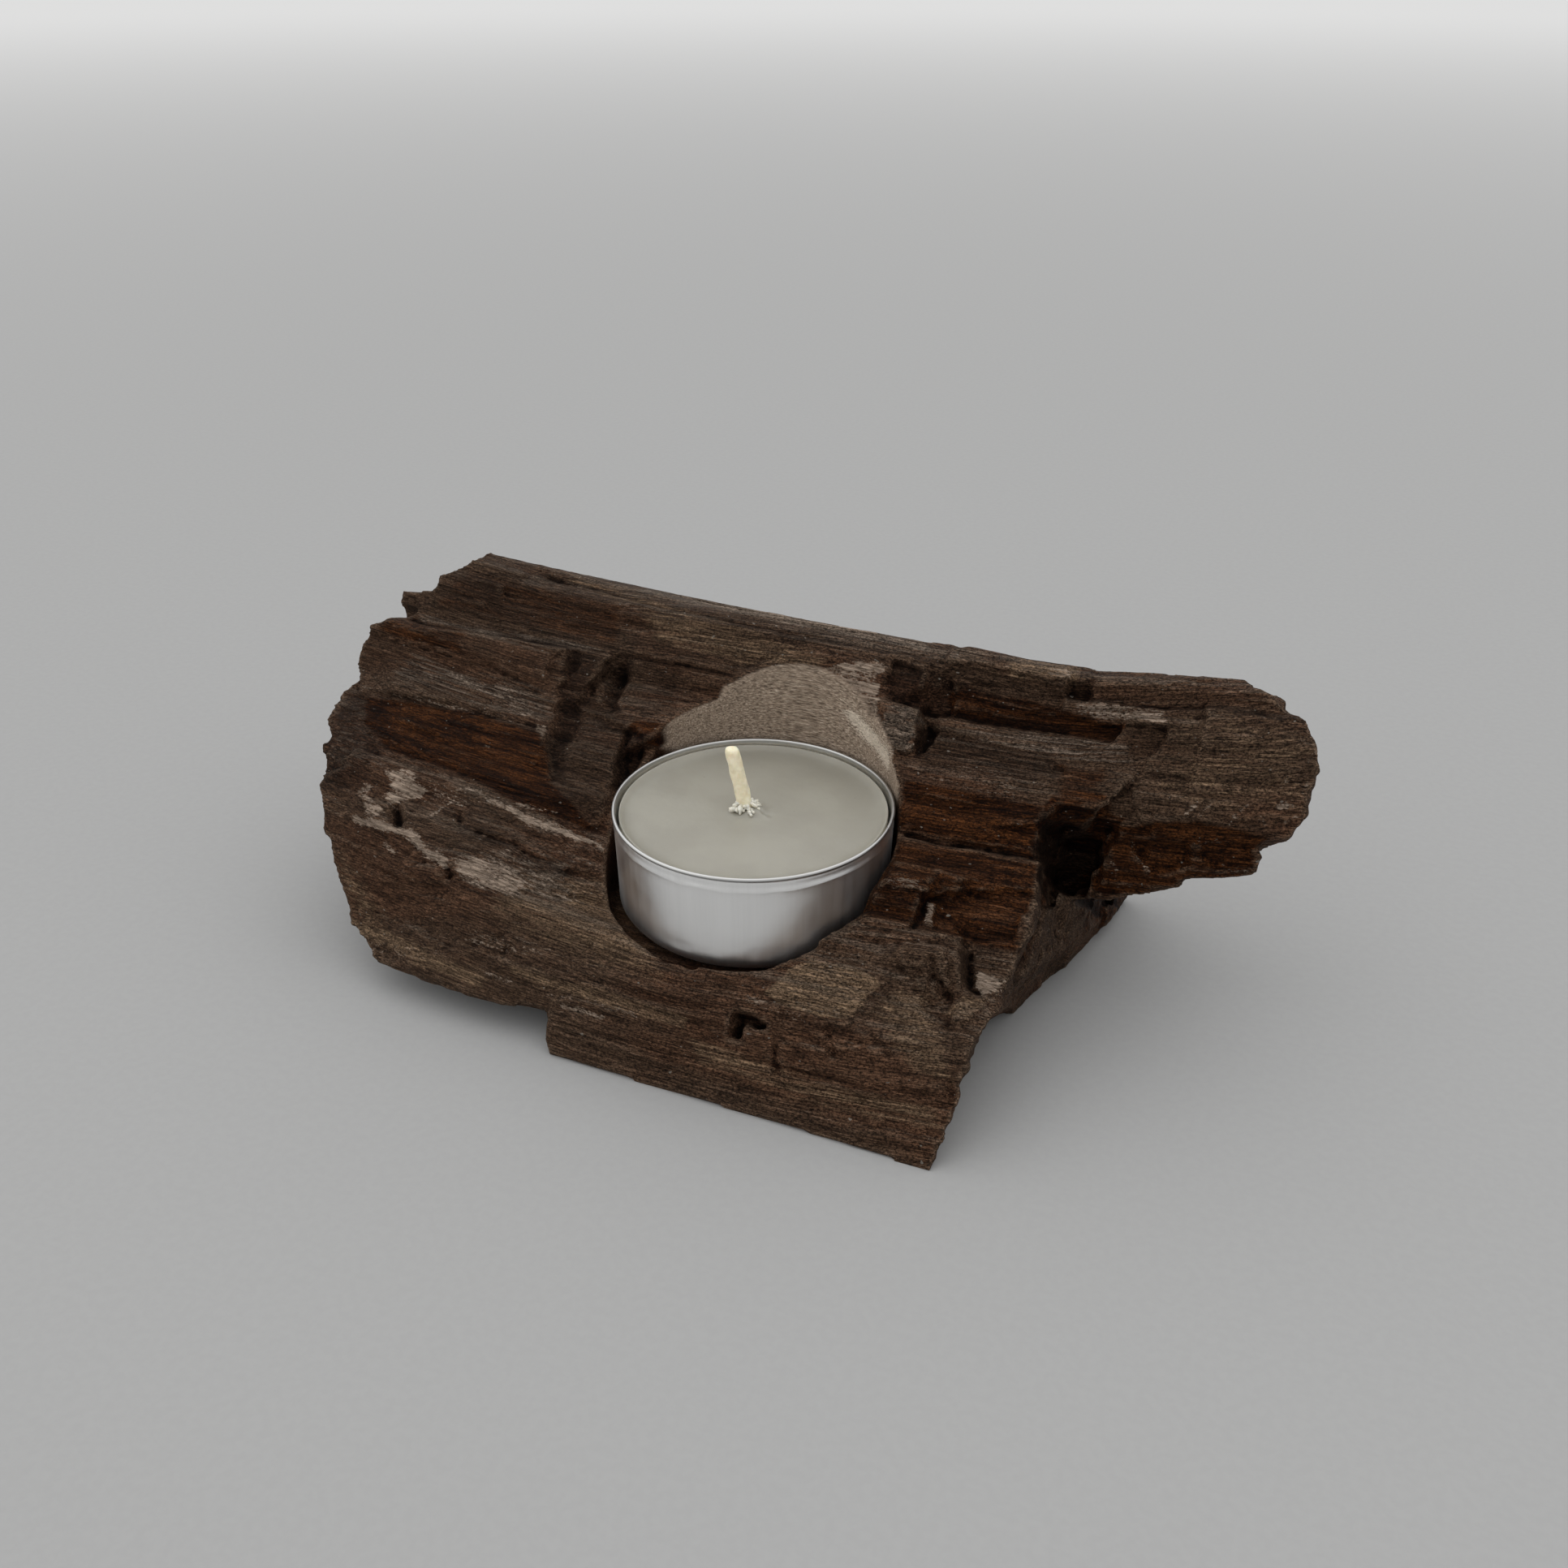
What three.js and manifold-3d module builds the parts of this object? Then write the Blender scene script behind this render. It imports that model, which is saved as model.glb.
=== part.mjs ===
// Rustic tealight holder: a split chunk of dark weathered hardwood with a recess bored in its
// stepped slope, and an aluminium-cup tealight standing loose in the recess.
//
// Units are millimetres. X runs along the grain, Y from the low front to the high back, Z up.
// The origin is on the resting face, straight below the axis of the recess.

import * as THREE from "three";
import { mergeVertices } from "three/addons/utils/BufferGeometryUtils.js";
import Module from "manifold-3d";

const wasm = await Module();
wasm.setup();

// ---- Driving dimensions -------------------------------------------------------------------

const RECESS_RADIUS = 20; // a 40 mm Forstner bit
const RECESS_FLOOR = 12.7; // wood left under the candle
const RECESS_REACH = 60; // the bit comes in from well above the ridge

const CUP_HEIGHT = 15;
const CUP_RADIUS = 19; // outside, just under the rim
const CUP_TAPER = 0.3; // how much narrower the cup is at its foot
const CUP_WALL = 0.3;
const CUP_CORNER = 2.4; // outside radius between wall and floor
const RIM_BEAD = 0.25; // radius of the rolled rim
const SEAT_GAP = 0.3; // play between the cup and the rough recess floor
const CUP_SHIFT = { x: 0.4, y: 0.1 }; // the cup is pushed against one side of the recess

const WAX_TOP = 13.6; // above the cup's underside
const WAX_GAP = 0.15; // loose fit between the wax and the cup
const WAX_CHAMFER = 0.6;

const WICK_RADIUS = 0.9; // with its wax coat
const WICK_GAP = 0.15;
const WICK_LENGTH_OUT = 8.6; // stands this far out of the wax
const WICK_LEAN = { x: -1.7, y: -0.9 }; // how far its tip leans over

const TAB_RADIUS = 6;
const TAB_THICKNESS = 0.25;
const NECK_RADIUS = 1.35;
const NECK_HEIGHT = 3.6;

const ROUND = 72; // segments of the round parts

// ---- The wood -----------------------------------------------------------------------------
//
// The chunk split along its grain, so it is a bundle of slabs whose long edges are fibres that
// run roughly along X. Each fibre is a list of [x, y, z] points from its left end to its right
// end, and a slab is the solid between its fibres, listed in order round its section. The uneven
// fibre ends give the broken look of the end grain.

const SLABS = {
  front_foot: [
    [[-18, -26, 0], [8, -27, 0], [36, -28.2, 0]],
    [[-18.5, -25.6, 5.3], [8, -26.2, 6], [37.3, -26.2, 6]],
    [[-18, -21.8, 10.6], [8, -23.3, 11.8], [38.7, -21, 12.5]],
    [[-18, -18, 14.4], [8, -20.5, 14.8], [39, -17, 14]],
    [[-18, -11, 14.6], [8, -12, 15.5], [39, -9, 14.5]],
    [[-18, 8, 15], [8, 8, 16], [40, 8, 16]],
    [[-18, 8, 0], [8, 8, 0], [38, 8, 0]],
  ],
  rear_foot: [
    [[-44, -4, 0], [0, 0, 0], [36.9, 1, 0]],
    [[-53, -6, 12], [0, -6, 12], [40, -4, 13]],
    [[-56, 28, 26], [0, 28, 26], [42, 30, 24]],
    [[-52, 37, 14], [0, 38, 14], [45.5, 39, 12]],
    [[-46, 36, 0], [0, 38, 0], [45, 39, 0]],
  ],
  heart: [
    [[-46, -6, 6], [0, -10, 6], [34, -6, 6]],
    [[-52, -6, 20], [0, -14, 14.5], [36, -8, 13]],
    [[-54, 10, 30], [-16, 8, 28], [36, 8, 22]],
    [[-54, 26, 36], [-10, 26, 38], [36, 24, 32]],
    [[-50, 32, 8], [0, 34, 8], [38, 34, 8]],
  ],
  front_left: [
    [[-47, -23, 5], [-32, -24.6, 5], [0, -25.4, 5]],
    [[-54, -19.5, 7], [-34, -22.5, 9.5], [0, -22.6, 10.6]],
    [[-60, -14.5, 17], [-36, -17, 16.5], [-2, -19.3, 14.4]],
    [[-65, -9, 22], [-38, -11.5, 21], [-12, -12, 15]],
    [[-62, -4.5, 26], [-39, -6, 24], [-19, -5, 20]],
    [[-62, 6, 24], [-40, 6, 22], [-19, 6, 18]],
    [[-48, 4, 6], [-32, 2, 5], [-12, 2, 5]],
  ],
  mid_left: [
    [[-64, -5.5, 24], [-39, -6.5, 23], [-22, -5.5, 19]],
    [[-69.5, 0, 27.5], [-40, 0, 27], [-22, -1, 25]],
    [[-70.5, 5, 29.3], [-39, 6, 30], [-23, 5, 29]],
    [[-66, 13, 34], [-38, 13, 33.5], [-14, 11, 32.6]],
    [[-60, 24, 34], [-38, 24, 36], [-8, 24, 37]],
    [[-56, 24, 14], [-38, 24, 14], [-8, 24, 14]],
  ],
  upper_left: [
    [[-66.5, 5.2, 30.3], [-50, 6.2, 29.5], [-35, 7, 29]],
    [[-69.5, 8.5, 33], [-50, 10, 33.5], [-32.5, 10.5, 33]],
    [[-68, 12.6, 38.4], [-48, 14.5, 38.2], [-29.5, 16.5, 38]],
    [[-63, 18, 38.6], [-48, 18, 38.4], [-29.5, 19, 37.6]],
    [[-63, 20, 30], [-48, 20, 30], [-30, 20, 30]],
  ],
  ridge: [
    [[-62, 17, 36], [-10, 16.8, 35.8], [13.5, 17.5, 36]],
    [[-63, 17, 39], [-10, 17.2, 36.4], [13.5, 18, 38]],
    [[-58.5, 23, 44.2], [-12, 23, 43.2], [22, 22.5, 43.3]],
    [[-57, 27.5, 46], [-14, 27, 43.4], [20.5, 27, 43.4]],
    [[-54, 32, 44], [-14, 31, 42], [19, 31, 41]],
    [[-54, 36, 16], [-14, 37, 14], [20, 37, 14]],
    [[-56, 18, 16], [-10, 15, 14], [14, 15, 14]],
  ],
  right_apron: [
    [[10, -19, 12], [20, -19.5, 12], [31, -17, 12]],
    [[10, -17.4, 15.6], [20, -17, 16.2], [31, -15, 15]],
    [[10, -13.4, 17.4], [20, -13, 17.2], [31.5, -11, 16]],
    [[10, -4, 17.5], [20, -4, 17.5], [32, -4, 17]],
    [[10, -4, 12], [20, -4, 12], [32, -4, 12]],
  ],
  right_low: [
    [[10, -13.6, 12], [20, -13.6, 12], [27, -13.6, 12]],
    [[10, -13.6, 18.4], [20, -13.4, 18.2], [29, -13, 17.6]],
    [[10, -8.6, 19.4], [20, -8, 19.4], [31.5, -6.5, 18.8]],
    [[10, 4, 20], [20, 4, 20], [32, 4, 20]],
    [[10, 4, 12], [20, 4, 12], [32, 4, 12]],
  ],
  right_step: [
    [[12, -8.6, 17], [20, -7.6, 17], [26, -7, 17]],
    [[12, -7, 21.8], [20, -6, 21.8], [26.5, -5, 21.4]],
    [[12, -3.5, 23.2], [20, -2.5, 23.2], [27, -1.5, 22.8]],
    [[12, 6, 24.5], [20, 6, 24.5], [27, 6, 24]],
    [[12, 6, 17], [20, 6, 17], [27, 6, 17]],
  ],
  right_mid: [
    [[12, 0, 14], [24, -9, 14], [39, -10, 14]],
    [[12, 0, 22], [27, -4, 19.8], [40.5, -3.5, 19.6]],
    [[12, 0, 23.6], [28, 0, 22.8], [39.5, 1, 21.8]],
    [[12, 5.5, 25.2], [28, 5.5, 25], [39.2, 5.5, 24.6]],
    [[12, 16, 26], [28, 16, 26], [39, 16, 26]],
    [[12, 16, 14], [28, 16, 14], [39, 16, 14]],
  ],
  right_shelf: [
    [[12, 5.8, 14], [28, 5.8, 14], [38, 7, 14]],
    [[12, 5.2, 25], [28, 5.6, 25.4], [38.5, 7, 25]],
    [[14, 9.5, 30.6], [28, 9.5, 31], [38, 11, 31.5]],
    [[15, 18.2, 34.4], [28, 18.8, 35], [42, 19.5, 36]],
    [[15, 24, 36], [28, 24, 36], [42, 24, 37]],
    [[12, 24, 14], [28, 24, 14], [42, 24, 14]],
  ],
  broken_step: [
    [[12, 13, 28], [15, 13, 28], [18.5, 14, 28]],
    [[12, 12.5, 33.2], [15, 12.5, 33], [19, 13.5, 32.6]],
    [[12, 17.5, 37.4], [15, 17.5, 37.2], [18, 17.8, 36.8]],
    [[12, 24, 38], [15, 24, 38], [18, 24, 38]],
    [[12, 24, 28], [15, 24, 28], [18, 24, 28]],
  ],
  plank: [
    [[16, 19, 34], [42, 20, 36], [62, 20, 38]],
    [[17, 22, 41], [42, 21.6, 40.8], [65, 21.2, 43.2]],
    [[20, 22.6, 43], [42, 22.4, 44], [64.5, 22.6, 45.6]],
    [[22, 26.6, 43.6], [40, 26.4, 43.8], [59.5, 26, 46]],
    [[22, 31, 40], [40, 30, 38], [62, 29, 41]],
    [[20, 31, 28], [40, 27, 26], [60, 26, 32]],
  ],
  plank_face: [
    [[38, 13, 14], [52, 12, 18.4], [58, 13, 21.6]],
    [[41, 13.6, 26], [56, 12.6, 27], [65.5, 12.6, 24]],
    [[42, 14.2, 32], [58, 13.4, 31.6], [70, 13.6, 31.2]],
    [[44, 17.4, 36.6], [58, 17, 37], [70.5, 16.8, 37.5]],
    [[46, 20.2, 40.4], [58, 19.8, 41], [67.5, 19.4, 42]],
    [[46, 25, 41], [58, 25, 41], [66, 25, 42]],
    [[40, 25, 15], [54, 25, 22], [62, 25, 25]],
  ],
};

// A manifold solid from a closed three.js geometry.
function solid(geometry) {
  const bare = geometry.index ? geometry.toNonIndexed() : geometry.clone();
  bare.deleteAttribute("normal");
  bare.deleteAttribute("uv");
  const merged = mergeVertices(bare, 1e-4);
  return new wasm.Manifold(
    new wasm.Mesh({
      numProp: 3,
      vertProperties: merged.attributes.position.array,
      triVerts: new Uint32Array(merged.index.array),
    }),
  );
}

// The three.js geometry of a manifold solid.
function geometryOf(body) {
  const mesh = body.getMesh();
  return new THREE.BufferGeometry()
    .setAttribute("position", new THREE.BufferAttribute(mesh.vertProperties, 3))
    .setIndex(new THREE.BufferAttribute(mesh.triVerts, 1));
}

// One slab: the section through the left ends of its fibres is extruded in steps, and every
// point of every step is then moved onto its fibre.
function slab(fibres) {
  const outline = new THREE.Shape(fibres.map(([[, y, z]]) => new THREE.Vector2(y, z)));
  const steps = fibres[0].length - 1;
  const prism = new THREE.ExtrudeGeometry(outline, { depth: steps, steps, bevelEnabled: false });
  const at = prism.attributes.position;
  for (let i = 0; i < at.count; i++) {
    const [y, z] = [at.getX(i), at.getY(i)];
    const fibre = fibres.find(([[, fy, fz]]) => Math.hypot(fy - y, fz - z) < 1e-3);
    at.setXYZ(i, ...fibre[Math.round(at.getZ(i))]);
  }
  return solid(prism);
}

function woodBody() {
  const bundle = Object.values(SLABS)
    .map(slab)
    .reduce((sum, piece) => sum.add(piece));
  const bit = new THREE.CylinderGeometry(RECESS_RADIUS, RECESS_RADIUS, RECESS_REACH, ROUND)
    .rotateX(Math.PI / 2)
    .translate(0, 0, RECESS_FLOOR + RECESS_REACH / 2);
  return geometryOf(bundle.subtract(solid(bit)));
}

// ---- The candle ---------------------------------------------------------------------------

// A closed profile of [radius, height] pairs turned about Z.
function turned(profile, segments = ROUND) {
  const points = profile.map(([r, z]) => new THREE.Vector2(r, z));
  return new THREE.LatheGeometry(points, segments).rotateX(Math.PI / 2);
}

function cup() {
  const foot = CUP_RADIUS - CUP_TAPER;
  const corner = (radius, from, to) =>
    new THREE.Path()
      .absarc(foot - CUP_CORNER, CUP_CORNER, radius, from, to, to < from)
      .getPoints(6)
      .map((p) => [p.x, p.y]);
  const rimCentre = [CUP_RADIUS - CUP_WALL + RIM_BEAD, CUP_HEIGHT - RIM_BEAD];
  const bead = new THREE.Path()
    .absarc(rimCentre[0], rimCentre[1], RIM_BEAD, -Math.PI / 2, Math.PI, false)
    .getPoints(8)
    .map((p) => [p.x, p.y]);
  return turned([
    [0, 0],
    ...corner(CUP_CORNER, -Math.PI / 2, 0),
    ...bead,
    ...corner(CUP_CORNER - CUP_WALL, 0, -Math.PI / 2),
    [0, CUP_WALL],
  ]);
}

function wax() {
  const side = CUP_RADIUS - CUP_TAPER - CUP_WALL - WAX_GAP;
  const floor = CUP_WALL + 0.1;
  const hole = WICK_RADIUS + WICK_GAP;
  const pocket = TAB_RADIUS + 0.3;
  const pocketTop = floor + TAB_THICKNESS + 0.15;
  const neck = NECK_RADIUS + 0.15;
  return turned([
    [pocket, floor],
    [side - CUP_CORNER, floor],
    [side - CUP_CORNER * 0.3, floor + CUP_CORNER * 0.3],
    [side, floor + CUP_CORNER],
    [side, WAX_TOP - WAX_CHAMFER],
    [side - WAX_CHAMFER, WAX_TOP],
    [hole, WAX_TOP],
    [hole, floor + NECK_HEIGHT + 0.3],
    [neck, floor + NECK_HEIGHT + 0.3],
    [neck, pocketTop],
    [pocket, pocketTop],
    [pocket, floor],
  ]);
}

function wickTab() {
  const floor = CUP_WALL + 0.05;
  const bore = WICK_RADIUS + 0.1;
  return turned(
    [
      [bore, floor],
      [TAB_RADIUS, floor],
      [TAB_RADIUS, floor + TAB_THICKNESS],
      [NECK_RADIUS, floor + TAB_THICKNESS],
      [NECK_RADIUS, floor + NECK_HEIGHT],
      [bore, floor + NECK_HEIGHT],
      [bore, floor],
    ],
    36,
  );
}

function wick() {
  const start = CUP_WALL + 0.4;
  const { x, y } = WICK_LEAN;
  const tip = WAX_TOP + WICK_LENGTH_OUT;
  const path = new THREE.CatmullRomCurve3([
    new THREE.Vector3(0, 0, start),
    new THREE.Vector3(0, 0, WAX_TOP * 0.5),
    new THREE.Vector3(0, 0, WAX_TOP),
    new THREE.Vector3(x * 0.4, y * 0.4, WAX_TOP + WICK_LENGTH_OUT * 0.45),
    new THREE.Vector3(x, y, tip),
  ]);
  const section = new THREE.Shape().absarc(0, 0, WICK_RADIUS, 0, 2 * Math.PI);
  return new THREE.ExtrudeGeometry(section, {
    extrudePath: path,
    steps: 20,
    curveSegments: 14,
    bevelEnabled: false,
  });
}

// ---- Assembly -----------------------------------------------------------------------------

function material(color, roughness, metalness) {
  return new THREE.MeshStandardMaterial({ color, roughness, metalness });
}

function part(name, geometry, look) {
  const mesh = new THREE.Mesh(geometry, look);
  mesh.name = name;
  return mesh;
}

const holder = new THREE.Group();
holder.add(part("wood_body", woodBody(), material(0x4a372a, 0.85, 0)));

const tealight = new THREE.Group();
tealight.position.set(CUP_SHIFT.x, CUP_SHIFT.y, RECESS_FLOOR + SEAT_GAP);
tealight.add(part("cup", cup(), material(0xc9cbce, 0.35, 1)));
tealight.add(part("wax", wax(), material(0xded9cc, 0.45, 0)));
tealight.add(part("wick", wick(), material(0xe6dcae, 0.8, 0)));
tealight.add(part("wick_tab", wickTab(), material(0xb4b4b0, 0.4, 1)));
holder.add(tealight);

export default holder;
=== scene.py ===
import math

import bmesh
import bpy
import numpy as np
from mathutils import Euler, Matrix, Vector


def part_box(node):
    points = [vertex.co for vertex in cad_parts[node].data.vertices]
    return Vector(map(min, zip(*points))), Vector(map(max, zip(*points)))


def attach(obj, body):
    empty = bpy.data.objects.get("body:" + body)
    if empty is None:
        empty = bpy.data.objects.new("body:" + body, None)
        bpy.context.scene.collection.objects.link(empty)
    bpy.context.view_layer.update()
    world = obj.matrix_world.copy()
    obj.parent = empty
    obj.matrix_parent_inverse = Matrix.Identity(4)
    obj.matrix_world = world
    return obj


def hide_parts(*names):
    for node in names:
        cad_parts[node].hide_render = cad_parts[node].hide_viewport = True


MM = 0.001

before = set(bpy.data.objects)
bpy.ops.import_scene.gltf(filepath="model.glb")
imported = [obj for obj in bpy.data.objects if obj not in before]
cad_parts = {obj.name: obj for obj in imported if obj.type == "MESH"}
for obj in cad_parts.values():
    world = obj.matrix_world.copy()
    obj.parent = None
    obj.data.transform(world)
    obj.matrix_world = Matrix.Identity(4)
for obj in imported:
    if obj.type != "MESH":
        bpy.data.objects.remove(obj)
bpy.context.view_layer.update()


# ---- Numbers taken from the frame ------------------------------------------------------------

def box_mm(node):
    low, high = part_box(node)
    return np.array(low) / MM, np.array(high) / MM


wood_low, wood_high = box_mm("wood_body")
cup_low, cup_high = box_mm("cup")
wax_low, wax_high = box_mm("wax")
wick_low, wick_high = box_mm("wick")
cup_axis = (cup_low + cup_high)[:2] / 2
rim_radius = (cup_high[0] - cup_low[0]) / 2
RECESS_RADIUS = 20.0
recess_floor = cup_low[2] - 0.3


# ---- Repeatable noise ------------------------------------------------------------------------

def hash01(seed, *keys):
    """A repeatable random number in 0..1 for each row of whole-number keys."""
    mask = np.uint64(0xFFFFFFFF)
    h = np.full(np.shape(keys[0]), (seed * 374761393 + 668265263) & 0xFFFFFFFF, np.uint64)
    for key in keys:
        h = (h ^ (np.asarray(key).astype(np.int64).astype(np.uint64) & mask)) * np.uint64(2654435761) & mask
        h ^= h >> np.uint64(15)
        h = h * np.uint64(2246822519) & mask
        h ^= h >> np.uint64(13)
    return h.astype(float) / 2**32


def smooth_noise(seed, x, y, z):
    """Value noise between -1 and 1 with features about one unit across."""
    cells = [np.floor(v) for v in (x, y, z)]
    f = [v - c for v, c in zip((x, y, z), cells)]
    f = [t * t * (3 - 2 * t) for t in f]
    total = 0
    for i in (0, 1):
        for j in (0, 1):
            for k in (0, 1):
                weight = (f[0] if i else 1 - f[0]) * (f[1] if j else 1 - f[1]) * (f[2] if k else 1 - f[2])
                total = total + weight * hash01(seed, cells[0] + i, cells[1] + j, cells[2] + k)
    return total * 2 - 1


def fbm(seed, x, y, z, octaves=3):
    total, size = 0, 0
    for o in range(octaves):
        gain = 0.5**o
        total = total + gain * smooth_noise(seed + o, x * 2**o, y * 2**o, z * 2**o)
        size += gain
    return total / size


def fibre_bundles(seed, x, y, z, width, length):
    """Splits the wood into long bundles of fibres along x. Gives each point its bundle's own
    random number (-1..1) and how close it is to the border between two bundles (0 at it)."""
    u, v = y / width, z / width
    cu, cv = np.floor(u), np.floor(v)
    best = np.full(u.shape, 9.0)
    second = np.full(u.shape, 9.0)
    own = np.zeros(u.shape)
    for i in (-1, 0, 1):
        for j in (-1, 0, 1):
            a, b = cu + i, cv + j
            pu = a + hash01(seed, a, b)
            pv = b + hash01(seed + 1, a, b)
            d = (pu - u) ** 2 + (pv - v) ** 2
            start = hash01(seed + 2, a, b) * 7
            part = x / length + start
            whole = np.floor(part)
            blend = lerp_step(part - whole, 0.3, 0.7)
            value = hash01(seed + 3, a, b, whole) * (1 - blend) + hash01(seed + 3, a, b, whole + 1) * blend
            value = value * 2 - 1
            nearer = d < best
            second = np.where(nearer, best, np.minimum(second, d))
            own = np.where(nearer, value, own)
            best = np.where(nearer, d, best)
    return own, np.sqrt(second) - np.sqrt(best)


def grain_space(p):
    """Coordinates that follow the fibres: they bow up at both ends and wander a little."""
    x, y, z = p.T
    z = z - 0.00115 * x * x
    wander_y = 1.6 * smooth_noise(11, x / 38, y / 22, z / 22) + 0.35 * smooth_noise(12, x / 12, y / 8, z / 8)
    wander_z = 1.6 * smooth_noise(13, x / 38, y / 22, z / 22) + 0.35 * smooth_noise(14, x / 12, y / 8, z / 8)
    return x, y + wander_y, z + wander_z


def terraced(q, layer, seed, x):
    """Moves q towards the flat treads of a stair of split layers, each about one layer thick."""
    t = q / layer + 0.45 * smooth_noise(seed, x / 60, q / (layer * 2.3), 0 * x)
    f = t - np.floor(t)
    return (lerp_step(f, 0.36, 0.64) - f) * layer


# ---- Mesh helpers ----------------------------------------------------------------------------

def add_object(name, mesh):
    ob = bpy.data.objects.new(name, mesh)
    bpy.context.scene.collection.objects.link(ob)
    return ob


def applied(ob):
    """The object's mesh with its modifiers applied."""
    graph = bpy.context.evaluated_depsgraph_get()
    graph.update()
    return bpy.data.meshes.new_from_object(ob.evaluated_get(graph))


def positions(mesh):
    co = np.empty(len(mesh.vertices) * 3, np.float32)
    mesh.vertices.foreach_get("co", co)
    return co.reshape(-1, 3).astype(float)


def normals(mesh):
    no = np.empty(len(mesh.vertices) * 3, np.float32)
    mesh.vertex_normals.foreach_get("vector", no)
    return no.reshape(-1, 3).astype(float)


def set_positions(mesh, co):
    mesh.vertices.foreach_set("co", np.asarray(co, np.float32).ravel())
    mesh.update()


def edge_pairs(mesh):
    pairs = np.empty(len(mesh.edges) * 2, np.int32)
    mesh.edges.foreach_get("vertices", pairs)
    return pairs.reshape(-1, 2)


def smoothed(values, pairs, rounds):
    """Averages per-vertex values with their neighbours, several times over."""
    count = len(values)
    degree = np.bincount(pairs.ravel(), minlength=count)[:, None] + 1.0
    flat = values if values.ndim == 2 else values[:, None]
    a, b = pairs.T
    for _ in range(rounds):
        total = flat.copy()
        for c in range(flat.shape[1]):
            total[:, c] += np.bincount(a, flat[b, c], count) + np.bincount(b, flat[a, c], count)
        flat = total / degree
    return flat if values.ndim == 2 else flat[:, 0]


def store(mesh, name, values):
    kind = "FLOAT_VECTOR" if np.ndim(values) == 2 else "FLOAT"
    key = "vector" if kind == "FLOAT_VECTOR" else "value"
    attribute = mesh.attributes.new(name, kind, "POINT")
    attribute.data.foreach_set(key, np.asarray(values, np.float32).ravel())


def remeshed(ob, voxel):
    modifier = ob.modifiers.new("remesh", "REMESH")
    modifier.mode = "VOXEL"
    modifier.voxel_size = voxel * MM
    modifier.adaptivity = 0
    mesh = applied(ob)
    ob.modifiers.clear()
    ob.data = mesh
    return mesh


def lerp_step(v, low, high):
    t = np.clip((v - low) / (high - low), 0, 1)
    return t * t * (3 - 2 * t)


# ---- The wood: where its features lie --------------------------------------------------------
#
# Most of the surface faces up and to the front, so a place on it is given as (x, v) in mm. Here v
# is the distance up the slope, (y + z) / sqrt 2, and relief moves the surface along FACING.

FACING = np.array([0, -1, 1]) / math.sqrt(2)
TREAD_NORMAL = np.array([0, -0.5, 0.866])
RISER_NORMAL = np.array([0, 0.866, 0.5])

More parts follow.
